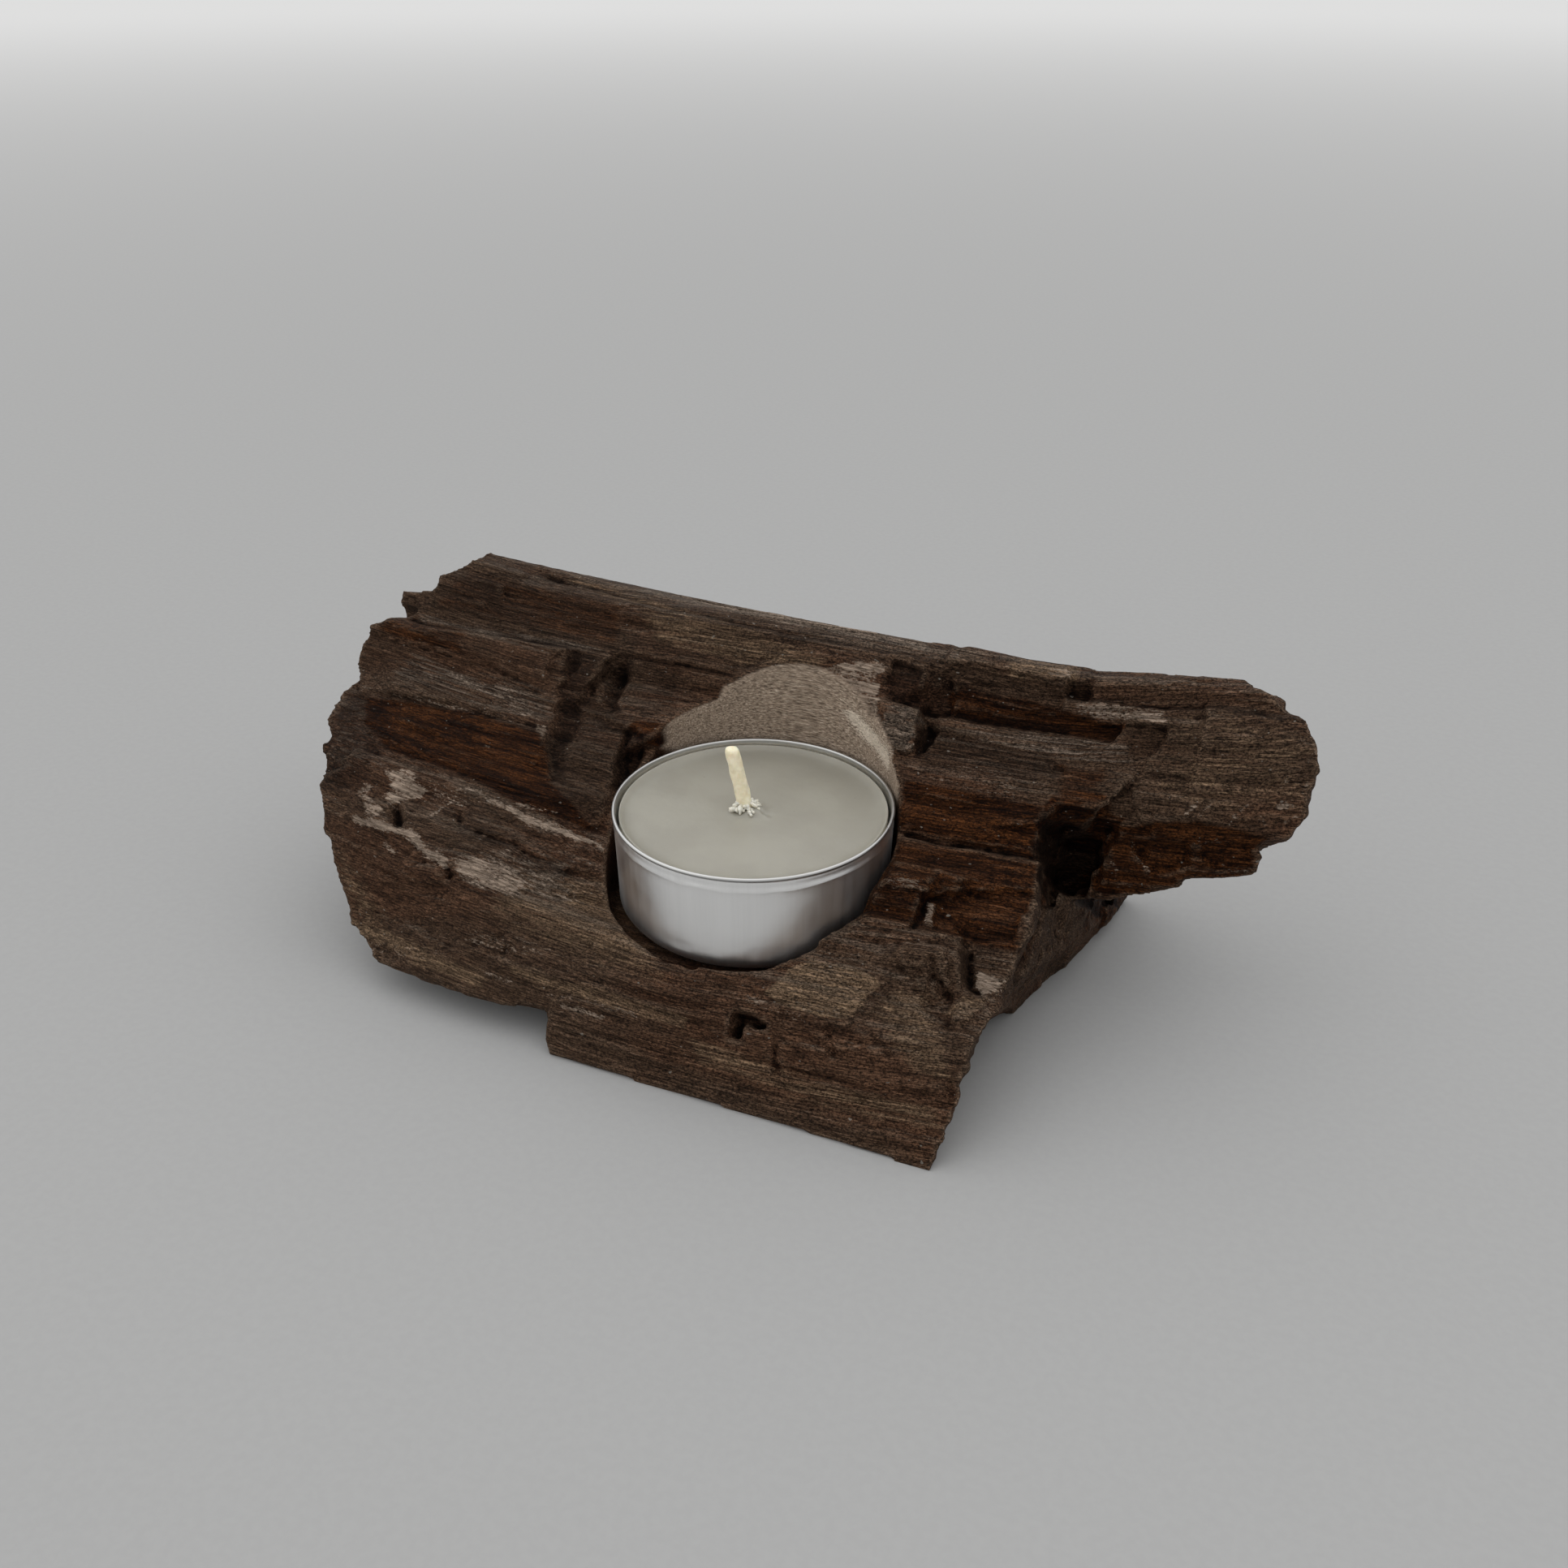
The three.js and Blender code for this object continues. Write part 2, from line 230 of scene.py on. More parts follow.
# Extra splinters and layers, as slabs between fibres like those of the CAD chunk.
SLABS = {
    "ridge_tip_low": [
        [(-67.5, 18.5, 40.2), (-52, 18, 39.6)], [(-66.5, 19.8, 43.2), (-52, 19.6, 42)],
        [(-66, 27, 43), (-52, 27, 42)], [(-64, 27, 36), (-50, 27, 36)], [(-66, 18.5, 36.5), (-50, 18, 36.5)]],
    "ridge_tip_mid": [
        [(-62.8, 19.6, 42), (-50, 19.6, 41)], [(-62.5, 21.4, 44.9), (-50, 21.4, 43.6)],
        [(-61.5, 28, 44.8), (-50, 28, 44)], [(-60, 28, 38), (-50, 28, 38)], [(-62, 20, 38), (-50, 20, 38)]],
    "ridge_tip_top": [
        [(-60.4, 22, 44), (-48, 22, 43)], [(-59.2, 24, 46.2), (-48, 24, 44.8)],
        [(-58.5, 28, 46.6), (-48, 28, 45.4)], [(-57, 29, 40), (-48, 29, 40)], [(-58, 22, 40), (-48, 22, 40)]],
    "shelf_end": [
        [(34, 8.6, 28.5), (44, 10.8, 29.4)], [(34, 10.2, 31.2), (47.6, 12.6, 32.9)],
        [(34, 18.6, 35.4), (50, 19.4, 37.6)], [(34, 24, 36), (48, 24, 38)], [(34, 20, 24), (46, 20, 26)],
        [(34, 11, 24), (42, 12.5, 26)]],
    "left_corner": [
        [(-68.4, -2.8, 25.7), (-56, -3.0, 24.6)], [(-66.6, -5.2, 24.0), (-56, -5.4, 22.9)],
        [(-65.8, -8.3, 22.2), (-56, -8.6, 21.4)],
        [(-64.6, -9.8, 20.9), (-56, -10, 20.2)], [(-63.2, -12, 18.9), (-56, -12.2, 18)],
        [(-61, -14, 16.7), (-56, -14.2, 16)], [(-58, -6, 9), (-54, -6, 9)], [(-63, 1.4, 15.6), (-56, 1.4, 15.6)]],
    "back_end": [
        [(54, 22.2, 43.2), (66.2, 22.4, 43.6)], [(54, 23.6, 45.2), (66, 23.8, 45)],
        [(54, 27, 45), (64.5, 27, 44)], [(54, 27, 40), (64.5, 27, 40)], [(54, 22.5, 40), (66, 22.5, 40)]],
    "plank_tip": [
        [(56, 14.4, 33), (70.8, 15, 33.8)], [(56, 16.2, 36.8), (71.4, 16.6, 37.2)],
        [(56, 18.4, 40.4), (71, 18.6, 40.4)], [(56, 20.4, 42.6), (69.8, 20.6, 42.6)],
        [(56, 21.4, 43.8), (68.4, 21.8, 43.8)], [(56, 25, 43.5), (67, 25, 43.5)], [(56, 24, 34), (69, 22, 34)]],
    "plank_nub": [
        [(58, 13.4, 30.6), (69, 14, 30.8)], [(58, 14, 32.4), (70.8, 14.6, 32.8)],
        [(58, 16, 34.6), (71, 16, 34.6)], [(58, 22, 35), (70, 21, 35)], [(58, 22, 31), (69, 20, 30.6)]],
    "plank_lower": [
        [(52, 11.9, 22.2), (66.2, 12.7, 24.2)], [(52, 12.8, 30), (66.2, 13.4, 31)],
        [(52, 22, 31), (66.2, 21, 31)], [(52, 21, 25), (66.2, 20, 25)]],
    "plank_under": [
        [(46, 11.8, 18.9), (57.5, 12.0, 20.6)], [(46, 12.6, 24), (56.4, 12.8, 25)],
        [(46, 21, 24), (56, 20, 25)], [(46, 20, 20.5), (56, 19, 21.4)]],
    "bore_lip": [
        [(9.2, 17.8, 30.4), (12.6, 15.65, 30.4)], [(9.2, 17.8, 35.6), (12.6, 15.65, 35.4)],
        [(9.2, 19.5, 35.8), (12.6, 18, 35.8)], [(9.2, 19.5, 30), (12.6, 18, 30)]],
    "step_block": [
        [(24, -14.2, 14), (34.6, -13.4, 14)], [(24, -12.8, 18.4), (33.6, -11.2, 18.8)],
        [(24, -8.4, 19.2), (32.4, -8, 19.4)], [(24, 0, 14), (33, 0, 14)]],
}

# Where the ends of the chunk lie along x, by v. Behind the front surface the ends slant back.
PLANK_END = [
    (20.4, 49.5), (21.5, 52.4), (22.8, 54.2), (23.4, 56.7), (24.7, 56.7), (24.9, 58), (25.9, 63.4),
    (26.5, 65.6), (30.3, 65.5), (30.6, 68.4), (32.1, 69.8), (33, 70.7), (34.5, 70.7), (36.1, 70.2),
    (38.1, 70.8), (39.7, 70.8), (42.3, 70.3), (43.5, 69.4), (44.6, 68.5), (45.9, 67.8), (46.4, 67.1),
    (46.6, 65.7), (48.4, 65.2), (49, 63.6), (49.7, 61.7), (50.6, 60.6)]
PLANK_FRONT = [(20, 5.5), (24, 6.5), (28, 9.6), (31, 12.4), (38, 14.2), (45, 15.1), (50, 15.8)]
FOOT_END = [
    (-20, 36.2), (-17.6, 36.8), (-15.5, 37), (-12.6, 37.4), (-10, 37.3), (-8.3, 37.7), (-5.7, 37.9),
    (-3, 38.5), (-1.2, 39.2), (0, 40.2), (1.5, 41.6), (3, 43.5)]
RIDGE_END = [
    (42.9, -65.2), (43.2, -61), (46.2, -61), (46.5, -59.6), (48.2, -58.2), (48.5, -57.6), (51, -56.4),
    (53, -55.4)]

# Raised (+) or sunken (-) flakes: height in mm, ragged fibre ends in mm, outline.
FLAKES = [
    (-0.8, 0.2, [(-35.8, 31.8), (-35.1, 29.3), (-34.3, 25.5), (-34.2, 23.8), (-32, 19.9), (-30.9, 17.4),
                 (-22, 17), (-21, 22), (-22.5, 27.5), (-27.3, 28.9), (-31.6, 29.6), (-33, 30)]),
    (-0.8, 0.2, [(-36.2, 38.4), (-34.6, 34.1), (-35.7, 31.8), (-33, 30), (-28.2, 29.4), (-30.8, 34.8),
                 (-31.6, 38.4)]),  # broken end of the upper left chunk
    (-0.5, 0.3, [(-36.2, 38.2), (-34.7, 38.3), (-33.5, 36.6), (-33.8, 34.2), (-35, 34.3)]),
    (-0.7, 0.15, [(-31.6, 38.8), (-30.8, 34.8), (-28.2, 29.4), (-25.8, 29.8), (-26.6, 34.2), (-27.2, 38.9)]),
    (-0.8, 0.2, [(-23.6, 27.6), (-22, 28.2), (-20.2, 27.2), (-19.6, 20.5), (-21.4, 18), (-22.6, 22.4)]),
    (0.6, 1.2, [(-68, 38.6), (-56, 37.4), (-45, 38.2), (-37, 38), (-37.5, 32.2), (-48, 33), (-68, 34.5)]),
    (-0.45, 0.8, [(-66, 25.6), (-53, 26.4), (-40, 26.1), (-36, 25.6), (-36, 24.8), (-50, 25.2), (-66, 24.8)]),
    (-4.5, 0.3, [(37.8, 25.1), (38.2, 26.6), (40.4, 27.8), (43.6, 27.6), (45.6, 27.2), (45.2, 25.4),
                  (44.6, 23.2), (44.4, 20.8), (43.4, 18.8), (41, 17.8), (39.8, 17.2), (39.5, 19.6),
                  (39.1, 21.4), (38.2, 23.3)]),
    (-1.2, 0.3, [(38.6, 26.4), (40, 29.2), (44.3, 29.4), (47, 28.8), (45.6, 26.8), (43.6, 27.4), (40.4, 27.6)]),
    (-0.8, 0.3, [(44.2, 28.3), (47.4, 28.9), (47.9, 28), (46.6, 25.8), (45, 24), (44, 24.6)]),
    (1.0, 0.3, [(20, 46.2), (28.5, 46.4), (36.8, 44.6), (37.4, 46), (39.8, 46.2), (40, 50.5), (20, 50)]),
    (-0.8, 0.2, [(36.9, 48.6), (39.6, 49), (40.6, 44.6), (37.6, 44.4)]),
    (1.1, 0.2, [(37, 44), (44.2, 44.4), (51.4, 44.6), (51.7, 41.9), (46.6, 41.6), (37, 42.3)]),
    (0.8, 0.2, [(51.6, 44.9), (57.7, 45.2), (64, 45.8), (72, 46.6), (72, 30.4), (65, 31), (60, 31.2), (56, 30.8),
                (50, 29.6), (48.5, 33), (49.4, 37), (51.6, 40)]),
    (0.7, 0.2, [(20, 39.2), (24.2, 39.4), (40.7, 39.5), (41.2, 37), (36.1, 36.5), (27, 36.5), (20, 37)]),
    (0.5, 0.3, [(40.7, 39.4), (47.3, 38.7), (48.1, 36.2), (45.2, 35.2), (41.3, 36.2)]),
    (-0.6, 0.5, [(36.5, 35), (39, 34.6), (39.6, 33.2), (37.8, 32.8)]),
    (-0.9, 0.3, [(49.4, 27.6), (56.7, 28.7), (57.7, 26), (52.4, 23.9), (50.6, 25.7)]),
    (-0.6, 0.4, [(58.6, 28.9), (64, 29.6), (65, 27), (61, 26), (58.8, 27)]),
    (1.1, 0.2, [(18, 16.4), (26, 16.8), (30.2, 16.6), (30.4, 14.6), (29.4, 13.1), (26.6, 12.8), (18, 12)]),
    (0.8, 0.2, [(18, 13.2), (26.6, 13), (26.4, 10.5), (26, 7.8), (23.5, 7.3), (18, 7.6)]),
    (-0.6, 0.4, [(28.4, 13), (31, 15.2), (39.5, 17.2), (38.4, 9.4), (33, 8.6), (28.4, 8.4)]),
    (-0.9, 0.1, [(26.1, 12.8), (26.9, 12.8), (26.9, 9.6), (26.4, 7.5), (25.8, 8)]),
    (0.5, 0.2, [(27, 12), (27.9, 12), (28.4, 8.4), (27.4, 8.6)]),
    (0.6, 0.5, [(26, 6), (31.5, 6), (32.6, 1.5), (31, -1), (27.5, 1.5), (25.5, 4)]),
    (-0.8, 0.5, [(31.6, 2.4), (33.6, -0.2), (34.2, -3.4), (31, -2.2), (29.4, 0.4), (30.2, 2.8)]),
    (0.5, 0.3, [(34.4, 2), (37.4, 2.2), (37.4, -1.8), (35, -2.6), (34.2, 0)]),
    (-2.2, 0.25, [(7.4, -8.2), (9.4, -7.8), (11.8, -8.8), (12, -9.5), (10.4, -10), (9.3, -9.2), (8.7, -11.6),
                  (7.4, -11.4)]),  # knocked-out pocket in the front face
    (-0.5, 0.6, [(11.5, -9.2), (16, -8.8), (20, -9.2), (19, -10.2), (14, -10.4)]),
    (-0.3, 0.8, [(-19, -12.6), (-8, -12.2), (4, -12.6), (20, -13.2), (37, -12.2), (37, -13),
                 (20, -14.2), (4, -13.5), (-8, -13), (-19, -13.6)]),
    (-0.3, 0.8, [(9, -16.8), (22, -17.2), (38, -16.2), (38, -17.4), (22, -18.2), (9, -17.8)]),
    (-0.7, 0.15, [(12.4, 45.2), (16.5, 44.6), (17.6, 42), (18.4, 38.9), (13.6, 39.4), (12.4, 42)]),
    (0.7, 0.15, [(8, 38.8), (17.2, 39.6), (18.2, 38.2), (18.9, 35), (18.5, 32.2), (9, 32.2)]),
    (-1.3, 0.15, [(18.5, 38), (20.9, 36.6), (20.2, 33.8), (18.8, 31.6), (19.1, 35)]),
    (-0.8, 0.2, [(17.6, 45.4), (21, 45.2), (22, 41.6), (21.6, 39), (18.6, 38.8), (17.6, 42)]),
]

# Open cracks: width and depth in mm, then the line.
CRACKS = [
    (0.3, 0.7, [(-44, 49.4), (-40.6, 49), (-32.4, 48.7), (-23.4, 47.5), (-10.8, 47), (9.5, 46.6), (20, 46.2)]),
    (0.25, 0.6, [(-30, 39.1), (-23.4, 39.1), (-15.7, 39.2), (-10.6, 39.1)]),
    (0.3, 0.8, [(-62.9, 38.2), (-56, 37.3), (-52.1, 37.7), (-47, 38.3), (-41.8, 38.7), (-36.5, 38.8), (-31, 38.9)]),
    (0.25, 0.6, [(-47.5, 33.2), (-44, 32.4), (-38, 30.8)]),
    (0.25, 0.6, [(-60, 43.4), (-53.8, 43.6), (-48.3, 43.9), (-38, 43.2)]),
    (0.3, 0.5, [(-62, 21.5), (-50, 20), (-40, 18.8)]),
    (0.3, 0.5, [(-58, 17.8), (-45, 16), (-33, 14.4)]),
    (0.4, 0.6, [(-39, 7.4), (-33, 7.2), (-27.7, 5.8), (-22.7, 5.1), (-18, 5)]),
    (0.9, 1.6, [(-50.9, 7.6), (-49.8, 6.2)]),
    (0.3, 1.0, [(-41.2, 9.2), (-40.6, 8.2), (-40, 7.6)]),
    (0.6, 1.3, [(-39.2, 1.1), (-38.4, 0.5)]),
    (0.3, 0.8, [(-29.2, -6.9), (-28.4, -5.8)]),
    (0.35, 0.8, [(-27.2, -7.9), (-26.2, -7.1)]),
    (0.3, 0.6, [(-39, -8.5), (-34.8, -8.8)]),
    (0.3, 0.5, [(-32, -8.2), (-31.2, -7.5)]),
    (0.3, 0.9, [(13.5, -11), (13.9, -12.6), (14.6, -14.2)]),
    (0.3, 0.8, [(19.8, -7.4), (20.3, -9), (21.1, -10.6)]),
    (0.25, 0.6, [(22.5, -7.4), (26, -10)]),
    (0.25, 0.6, [(24.4, -6.4), (28, -8.8)]),
    (0.25, 0.5, [(16, -8.2), (19, -9.6), (23, -10.6)]),
    (0.4, 2.0, [(33.4, 6.8), (33.8, 5), (34.4, 3.4), (34.9, 2.2), (36.2, 1.6)]),
    (0.3, 1.0, [(29.9, 4.4), (30.6, 2.8), (31.9, 1.4), (33, 0.2), (33.4, -1.2), (34.6, -3.9)]),
    (0.25, 0.6, [(28.4, 3.4), (29, 1.6), (30.4, 0.2), (31.6, -1.6)]),
    (0.25, 0.6, [(31.6, 6), (32.2, 4.2), (33, 2.4), (33, 1.2)]),
    (0.25, 0.6, [(26.6, 4.4), (27.6, 2.6), (29, 0)]),
    (0.3, 0.9, [(27.2, 12.6), (31, 14.9), (34, 14.9)]),
    (0.4, 1.6, [(18.2, 21.5), (24.7, 21), (29.5, 21.3), (34.4, 21.3), (39, 21.7)]),
    (0.3, 0.7, [(18.4, 39.5), (24.2, 39.6), (30, 39.8), (38, 39.8)]),
    (0.3, 0.7, [(27, 43), (34, 42.6), (38, 42.2)]),
    (0.3, 0.6, [(22, 42.4), (29, 41.4), (36, 41.2)]),
    (0.6, 0.8, [(36.3, -10.6), (36.7, -11.6)]),
    (0.3, 0.6, [(18.2, 4.4), (23.6, 5.2), (27.7, 6.3), (32.3, 7.7)]),
]

# Steps between two layers of wood: height of the upper side, how far it runs out, then the line.
STEPS = [
    (0.5, 5.0, [(-30, 39.2), (-23.4, 39.2), (-15.7, 39.3), (-9, 39.1)]),
    (0.7, 4.0, [(-60, 5.2), (-53.5, 5.3), (-48.5, 4.6), (-44.7, 3.4), (-39.5, 1.4), (-36.7, 0.6), (-32, 0), (-27, -0.6)]),
    (0.6, 5.0, [(9, -7.4), (14, -6.9), (18, -7.2), (22, -6.7), (24.4, -5), (25.2, -2.4), (25, -0.6)]),
    (0.8, 4.0, [(18, 4.5), (23.6, 5.3), (27.7, 6.4), (32.3, 7.8)]),
    (0.5, 3.0, [(-66, 25.2), (-53, 26.2), (-36, 25.4)]),
    (0.5, 4.0, [(-18, -8), (-5, -8.6), (6, -8.4)]),
    (0.4, 3.5, [(-57, 46.6), (-45, 46), (-30, 45), (-24, 44.8)]),
    (0.5, 3.0, [(-39.5, 7.6), (-33, 7.4), (-27.7, 5.9), (-22.7, 5.2), (-17.9, 5.1)]),
    (0.45, 3.0, [(-29.5, -11.2), (-24.7, -9.6), (-11.5, -10.1), (0.6, -10.4), (8, -12)]),
]

# Gentle swellings (+) and hollows (-): height, centre, and half width along x and v.
SWELLS = [
    (-1.0, (-32.2, 24.4), (1.7, 5)),
    (-1.0, (-27.6, 34.4), (1.4, 4)),
    (-1.0, (-7, 40.6), (7, 3)),
    (0.5, (6, 44), (5, 3)),
]

# Colour patches: layer, strength, softness in mm, outline. The shade layer is painted shade in shadowed recesses,
# cracks, broken ends and the hole; the layer of greyish weathering is partly painted sheen on lit tops.
PATCHES = [
    ("dust", 1.0, 1.2, [(-54.6, 13.3), (-51.9, 14.2), (-49.3, 13.7), (-48.3, 11.8), (-48.6, 9.8), (-50.2, 8.7),
                        (-51.9, 8), (-53, 9.7), (-54, 11)]),
    ("dust", 0.8, 1.2, [(-57.8, 11), (-55.8, 10.2), (-53.1, 7.2), (-53.4, 5.4), (-55.4, 5.6), (-57, 8)]),
    ("dust", 0.95, 1.6, [(-38.4, 3), (-34, 4), (-30.6, 3.6), (-27, 2), (-28.1, 0), (-31.5, -0.4), (-36, 0.2)]),
    ("dust", 0.5, 2.5, [(-37.4, 4.4), (-30, 5.4), (-22, 3.6), (-20, 1.4), (-27, -0.8), (-36, -0.4)]),
    ("dust", 0.5, 2.0, [(-48, 13.4), (-40, 14), (-38, 12.6), (-42, 10), (-47, 10)]),
    ("dust", 0.95, 0.8, [(2.4, 42), (5, 43.6), (8, 44.2), (11, 44.8), (11.8, 42), (11.9, 39.4), (12.4, 36.5), (8, 38)]),
    ("dust", 0.6, 0.5, [(20, 13.6), (25.5, 14.4), (26.4, 13), (23, 12.2)]),
    ("dust", 1.0, 0.3, [(27, 11.9), (27.9, 11.9), (28.3, 9), (27.2, 9)]),
    ("dust", 1.1, 0.5, [(34.8, 4.9), (37, 4.7), (38.8, 3.7), (38.4, 2.6), (36.6, 1.4), (35.4, 2.6)]),
    ("dust", 0.5, 0.4, [(29.8, 2), (31.4, 1.8), (31.6, 1.2), (30, 1.3)]),
    # Dust and painted light on the top-lit ledge.
    ("dust", 0.75, 0.6, [(38.6, 43.6), (44, 44.2), (51.2, 44.4), (51.5, 42.2), (46, 41.9), (40, 42.6)]),
    ("dust", 0.75, 0.6, [(33.8, 47.4), (37.2, 48), (37.2, 45.8), (34.2, 45.6)]),
    # Dust and painted sheen on the lower lit band.
    ("dust", 0.4, 0.8, [(22, 29.4), (22.4, 31.6), (26.6, 32.6), (31.7, 32), (35.2, 30.2), (31.3, 29), (25.4, 28.8)]),
    ("dust", 0.5, 0.8, [(41.5, 38.6), (47, 38), (47.8, 36.4), (45, 35.6), (41.6, 36.6)]),
    # Dust and painted sheen on the ridge top.
    ("dust", 0.6, 0.6, [(-22, 50), (-10, 49), (9, 48.4), (16, 47.8), (17, 54), (-22, 56)]),
    ("dust", 0.35, 1.5, [(11, -6), (18, -6.6), (18, -8.2), (10, -7.8)]),
    ("dust", 0.42, 2.0, [(-57, 31.8), (-51, 32.4), (-44, 31.8), (-38, 29), (-37, 26.6), (-41, 26.6), (-48, 28)]),
    ("dust", 0.7, 0.4, [(-40.4, 27), (-38.4, 27.6), (-37.8, 26.8), (-39.6, 26.3)]),
    ("dust", 0.75, 0.5, [(-36.8, 25.6), (-34.8, 25.7), (-34.4, 24.2), (-35, 23.8)]),
    ("dust", 0.45, 1.6, [(-34, -6), (-26, -5.4), (-20, -6.4), (-24, -8.4), (-33, -8)]),
    ("tan", 1.2, 0.5, [(10.6, -5.3), (12, -2.6), (14.7, 0.8), (20.9, 0.7), (23.6, 0), (24.4, -1.9),
                       (23.8, -3.7), (21.4, -5.8), (18.3, -6.4), (15.3, -6.2), (12.8, -6)]),
    ("dust", 0.5, 0.8, [(14.6, -5), (20.6, -4.8), (21, -6), (18, -6.6), (15, -6.4)]),
    ("dust", 0.6, 0.8, [(7.6, -5.4), (10.8, -5.6), (10.6, -7), (8, -6.8)]),
    ("tan", 0.6, 4.0, [(-30, 4), (-14, 5), (-9, 1), (-4, -6), (-17, -6), (-30, -3)]),
    ("tan", 0.7, 3.0, [(-26, 46.5), (-14, 46), (2, 44.6), (3, 42), (-10, 41.4), (-24, 42)]),
    ("tan", 0.8, 1.2, [(28, 48.6), (38, 49), (38.2, 45.8), (29, 45.6)]),
    ("tan", 0.55, 2.0, [(2, -12.6), (20, -14), (35, -13.5), (37, -15.8), (20, -16.8), (4, -15.8)]),
    ("tan", 0.6, 2.0, [(26, 0), (31, 0), (34, -5), (36, -10), (31, -10), (26, -5)]),
    ("tan", 0.6, 1.2, [(34, 1), (37.5, 1.4), (37.5, -2), (34, -2)]),
    ("tan", 0.32, 3.0, [(53, 44), (69, 44), (70, 34), (60, 32), (51, 34), (52, 40)]),
    ("tan", 0.5, 3.0, [(-63, 4), (-58, 0), (-56, -5), (-50, -9.5), (-44, -10.6), (-50, -6), (-56, 0)]),
    ("red", 1.4, 1.2, [(-65, 24.4), (-58, 25), (-47, 25.4), (-36, 24.4), (-33.4, 22.6), (-31.4, 17.8), (-22, 12),
                       (-30, 12.6), (-43, 15.4), (-57, 17), (-62, 20)]),
    ("red", 0.9, 1.0, [(19, 28.2), (38, 28.4), (38, 21.3), (19, 22)]),
    ("red", 1.0, 0.6, [(-22.4, 29.4), (-17.4, 29.6), (-14, 28.2), (-15, 26.2), (-20, 26.4), (-22.4, 27.4)]),
    ("red", 1.1, 1.0, [(47.5, 28.8), (57, 30.8), (66.5, 30.8), (67, 24), (44, 17), (43, 24)]),
    ("red", 1.0, 0.6, [(37.4, 26), (39, 30), (48, 29.8), (47, 26)]),
    ("red", 0.8, 0.8, [(21, 43.8), (38, 42.6), (46, 41.6), (46, 39.4), (21, 39.6)]),
    ("red", 0.6, 2.0, [(-66, 38), (-52, 37.5), (-52, 34), (-66, 34.5)]),
    ("red", 0.6, 1.5, [(38, 35), (44, 35), (47, 28), (40, 29)]),
    ("red", 0.8, 1.5, [(18, 20.6), (39, 21), (40, 8), (34, 8), (28, 8), (18, 8)]),
    ("red", 0.5, 2.0, [(-56, 48), (-30, 46.6), (-30, 40.4), (-60, 41)]),
    # Painted shade: shadowed recesses, broken ends, cracks and the hole are darkened.
    ("dark", 0.9, 1.6, [(-35.4, 31.8), (-34.8, 29.3), (-33.9, 25.5), (-33.6, 23.4), (-31.6, 19.6), (-30.4, 17.4),
                        (-28.8, 18.2), (-29.6, 20.8), (-30.6, 24.2), (-30.4, 27.6), (-31.6, 30), (-34, 32.2)]),
    ("dark", 0.45, 1.5, [(-35, 30.5), (-25, 30.5), (-21.6, 27), (-20, 20), (-25, 18), (-31, 17.6), (-34, 24)]),
    ("dark", 0.35, 1.5, [(-25.6, 39), (-19, 38.4), (-17, 33), (-20, 29.4), (-25.4, 30)]),
    ("dark", 0.2, 3.0, [(-62, 50), (0, 47), (2, 41), (-28, 40), (-60, 40.4)]),
    ("dark", 0.6, 0.8, [(-36.4, 38.6), (-34.6, 34.1), (-34, 31), (-28.2, 29.4), (-30.8, 34.8), (-31.6, 38.8)]),
    ("dark", 0.7, 0.4, [(-36.4, 38.4), (-34.5, 38.5), (-33.3, 36.6), (-33.7, 34), (-35.2, 34.2)]),
    ("dark", 0.85, 1.3, [(-29.6, 38.8), (-26.6, 39), (-25.8, 34), (-25, 29.8), (-27.6, 29.8), (-28.6, 34)]),
    ("dark", 0.9, 1.0, [(-24.2, 27.8), (-22, 28.4), (-20, 27.2), (-19.6, 20), (-22.2, 18.4), (-22.8, 22.4)]),
    ("dark", 0.75, 0.7, [(12.1, 45.4), (16.5, 45), (18, 42), (18.6, 39), (13, 39.2), (12.1, 42)]),
    ("dark", 0.55, 0.9, [(17.2, 45.2), (21, 45.2), (22, 39), (18.2, 39)]),
    ("dark", 0.8, 0.5, [(18.6, 38.4), (21.4, 36.8), (20.6, 33.6), (18.6, 31.2)]),
    ("dark", 0.5, 0.6, [(37.8, 27), (40, 29.4), (44.3, 29.6), (47.4, 28.8), (46, 26.4), (42, 26.4)]),
    ("dark", 1.0, 0.4, [(37.4, 25.1), (38, 26.8), (40.4, 28), (43.8, 27.8), (45.6, 27.3),
                        (45.4, 25.4), (44.8, 23.2), (44.6, 20.8), (43.6, 18.4), (41, 17.2), (39.8, 16.6),
                        (38.8, 19.6), (38.4, 21.4), (37.6, 23.3)]),
    ("dark", 0.6, 0.6, [(44, 29.6), (47.6, 29.4), (48.2, 28), (46.8, 25.6), (45, 23.8), (44, 24.6)]),
    ("dark", 0.5, 1.0, [(37, 46), (39.8, 48.6), (40.8, 44.6), (45, 44.8), (45, 44.4), (37.4, 44.4)]),
    ("dark", 0.6, 1.6, [(-68, 25), (-61, 24), (-57, 16.4), (-57.4, 13), (-60, 9), (-68, 9)]),
    ("dark", 0.5, 1.6, [(-36, 15.4), (-31, 17), (-22, 17), (-22, 11.4), (-28, 12), (-34, 13)]),
    ("dark", 0.35, 1.5, [(-57, 16.4), (-40, 14.6), (-34, 13), (-36, 15), (-44, 16.4), (-54, 18.4)]),
    ("dark", 0.5, 1.5, [(19, 37), (38, 35.8), (39, 33.6), (36, 31.6), (19, 32)]),
    ("dark", 0.35, 1.5, [(21, 39.8), (38, 40.2), (38, 43), (21, 44.6)]),
    # Greyish weathering, partly painted sheen on tops that catch the light.
    ("weathering_and_sheen", 0.65, 2.5, [(-60, 32.5), (-42, 32.2), (-36, 30), (-35.6, 26.4), (-42, 26.2), (-50, 27), (-62, 28)]),
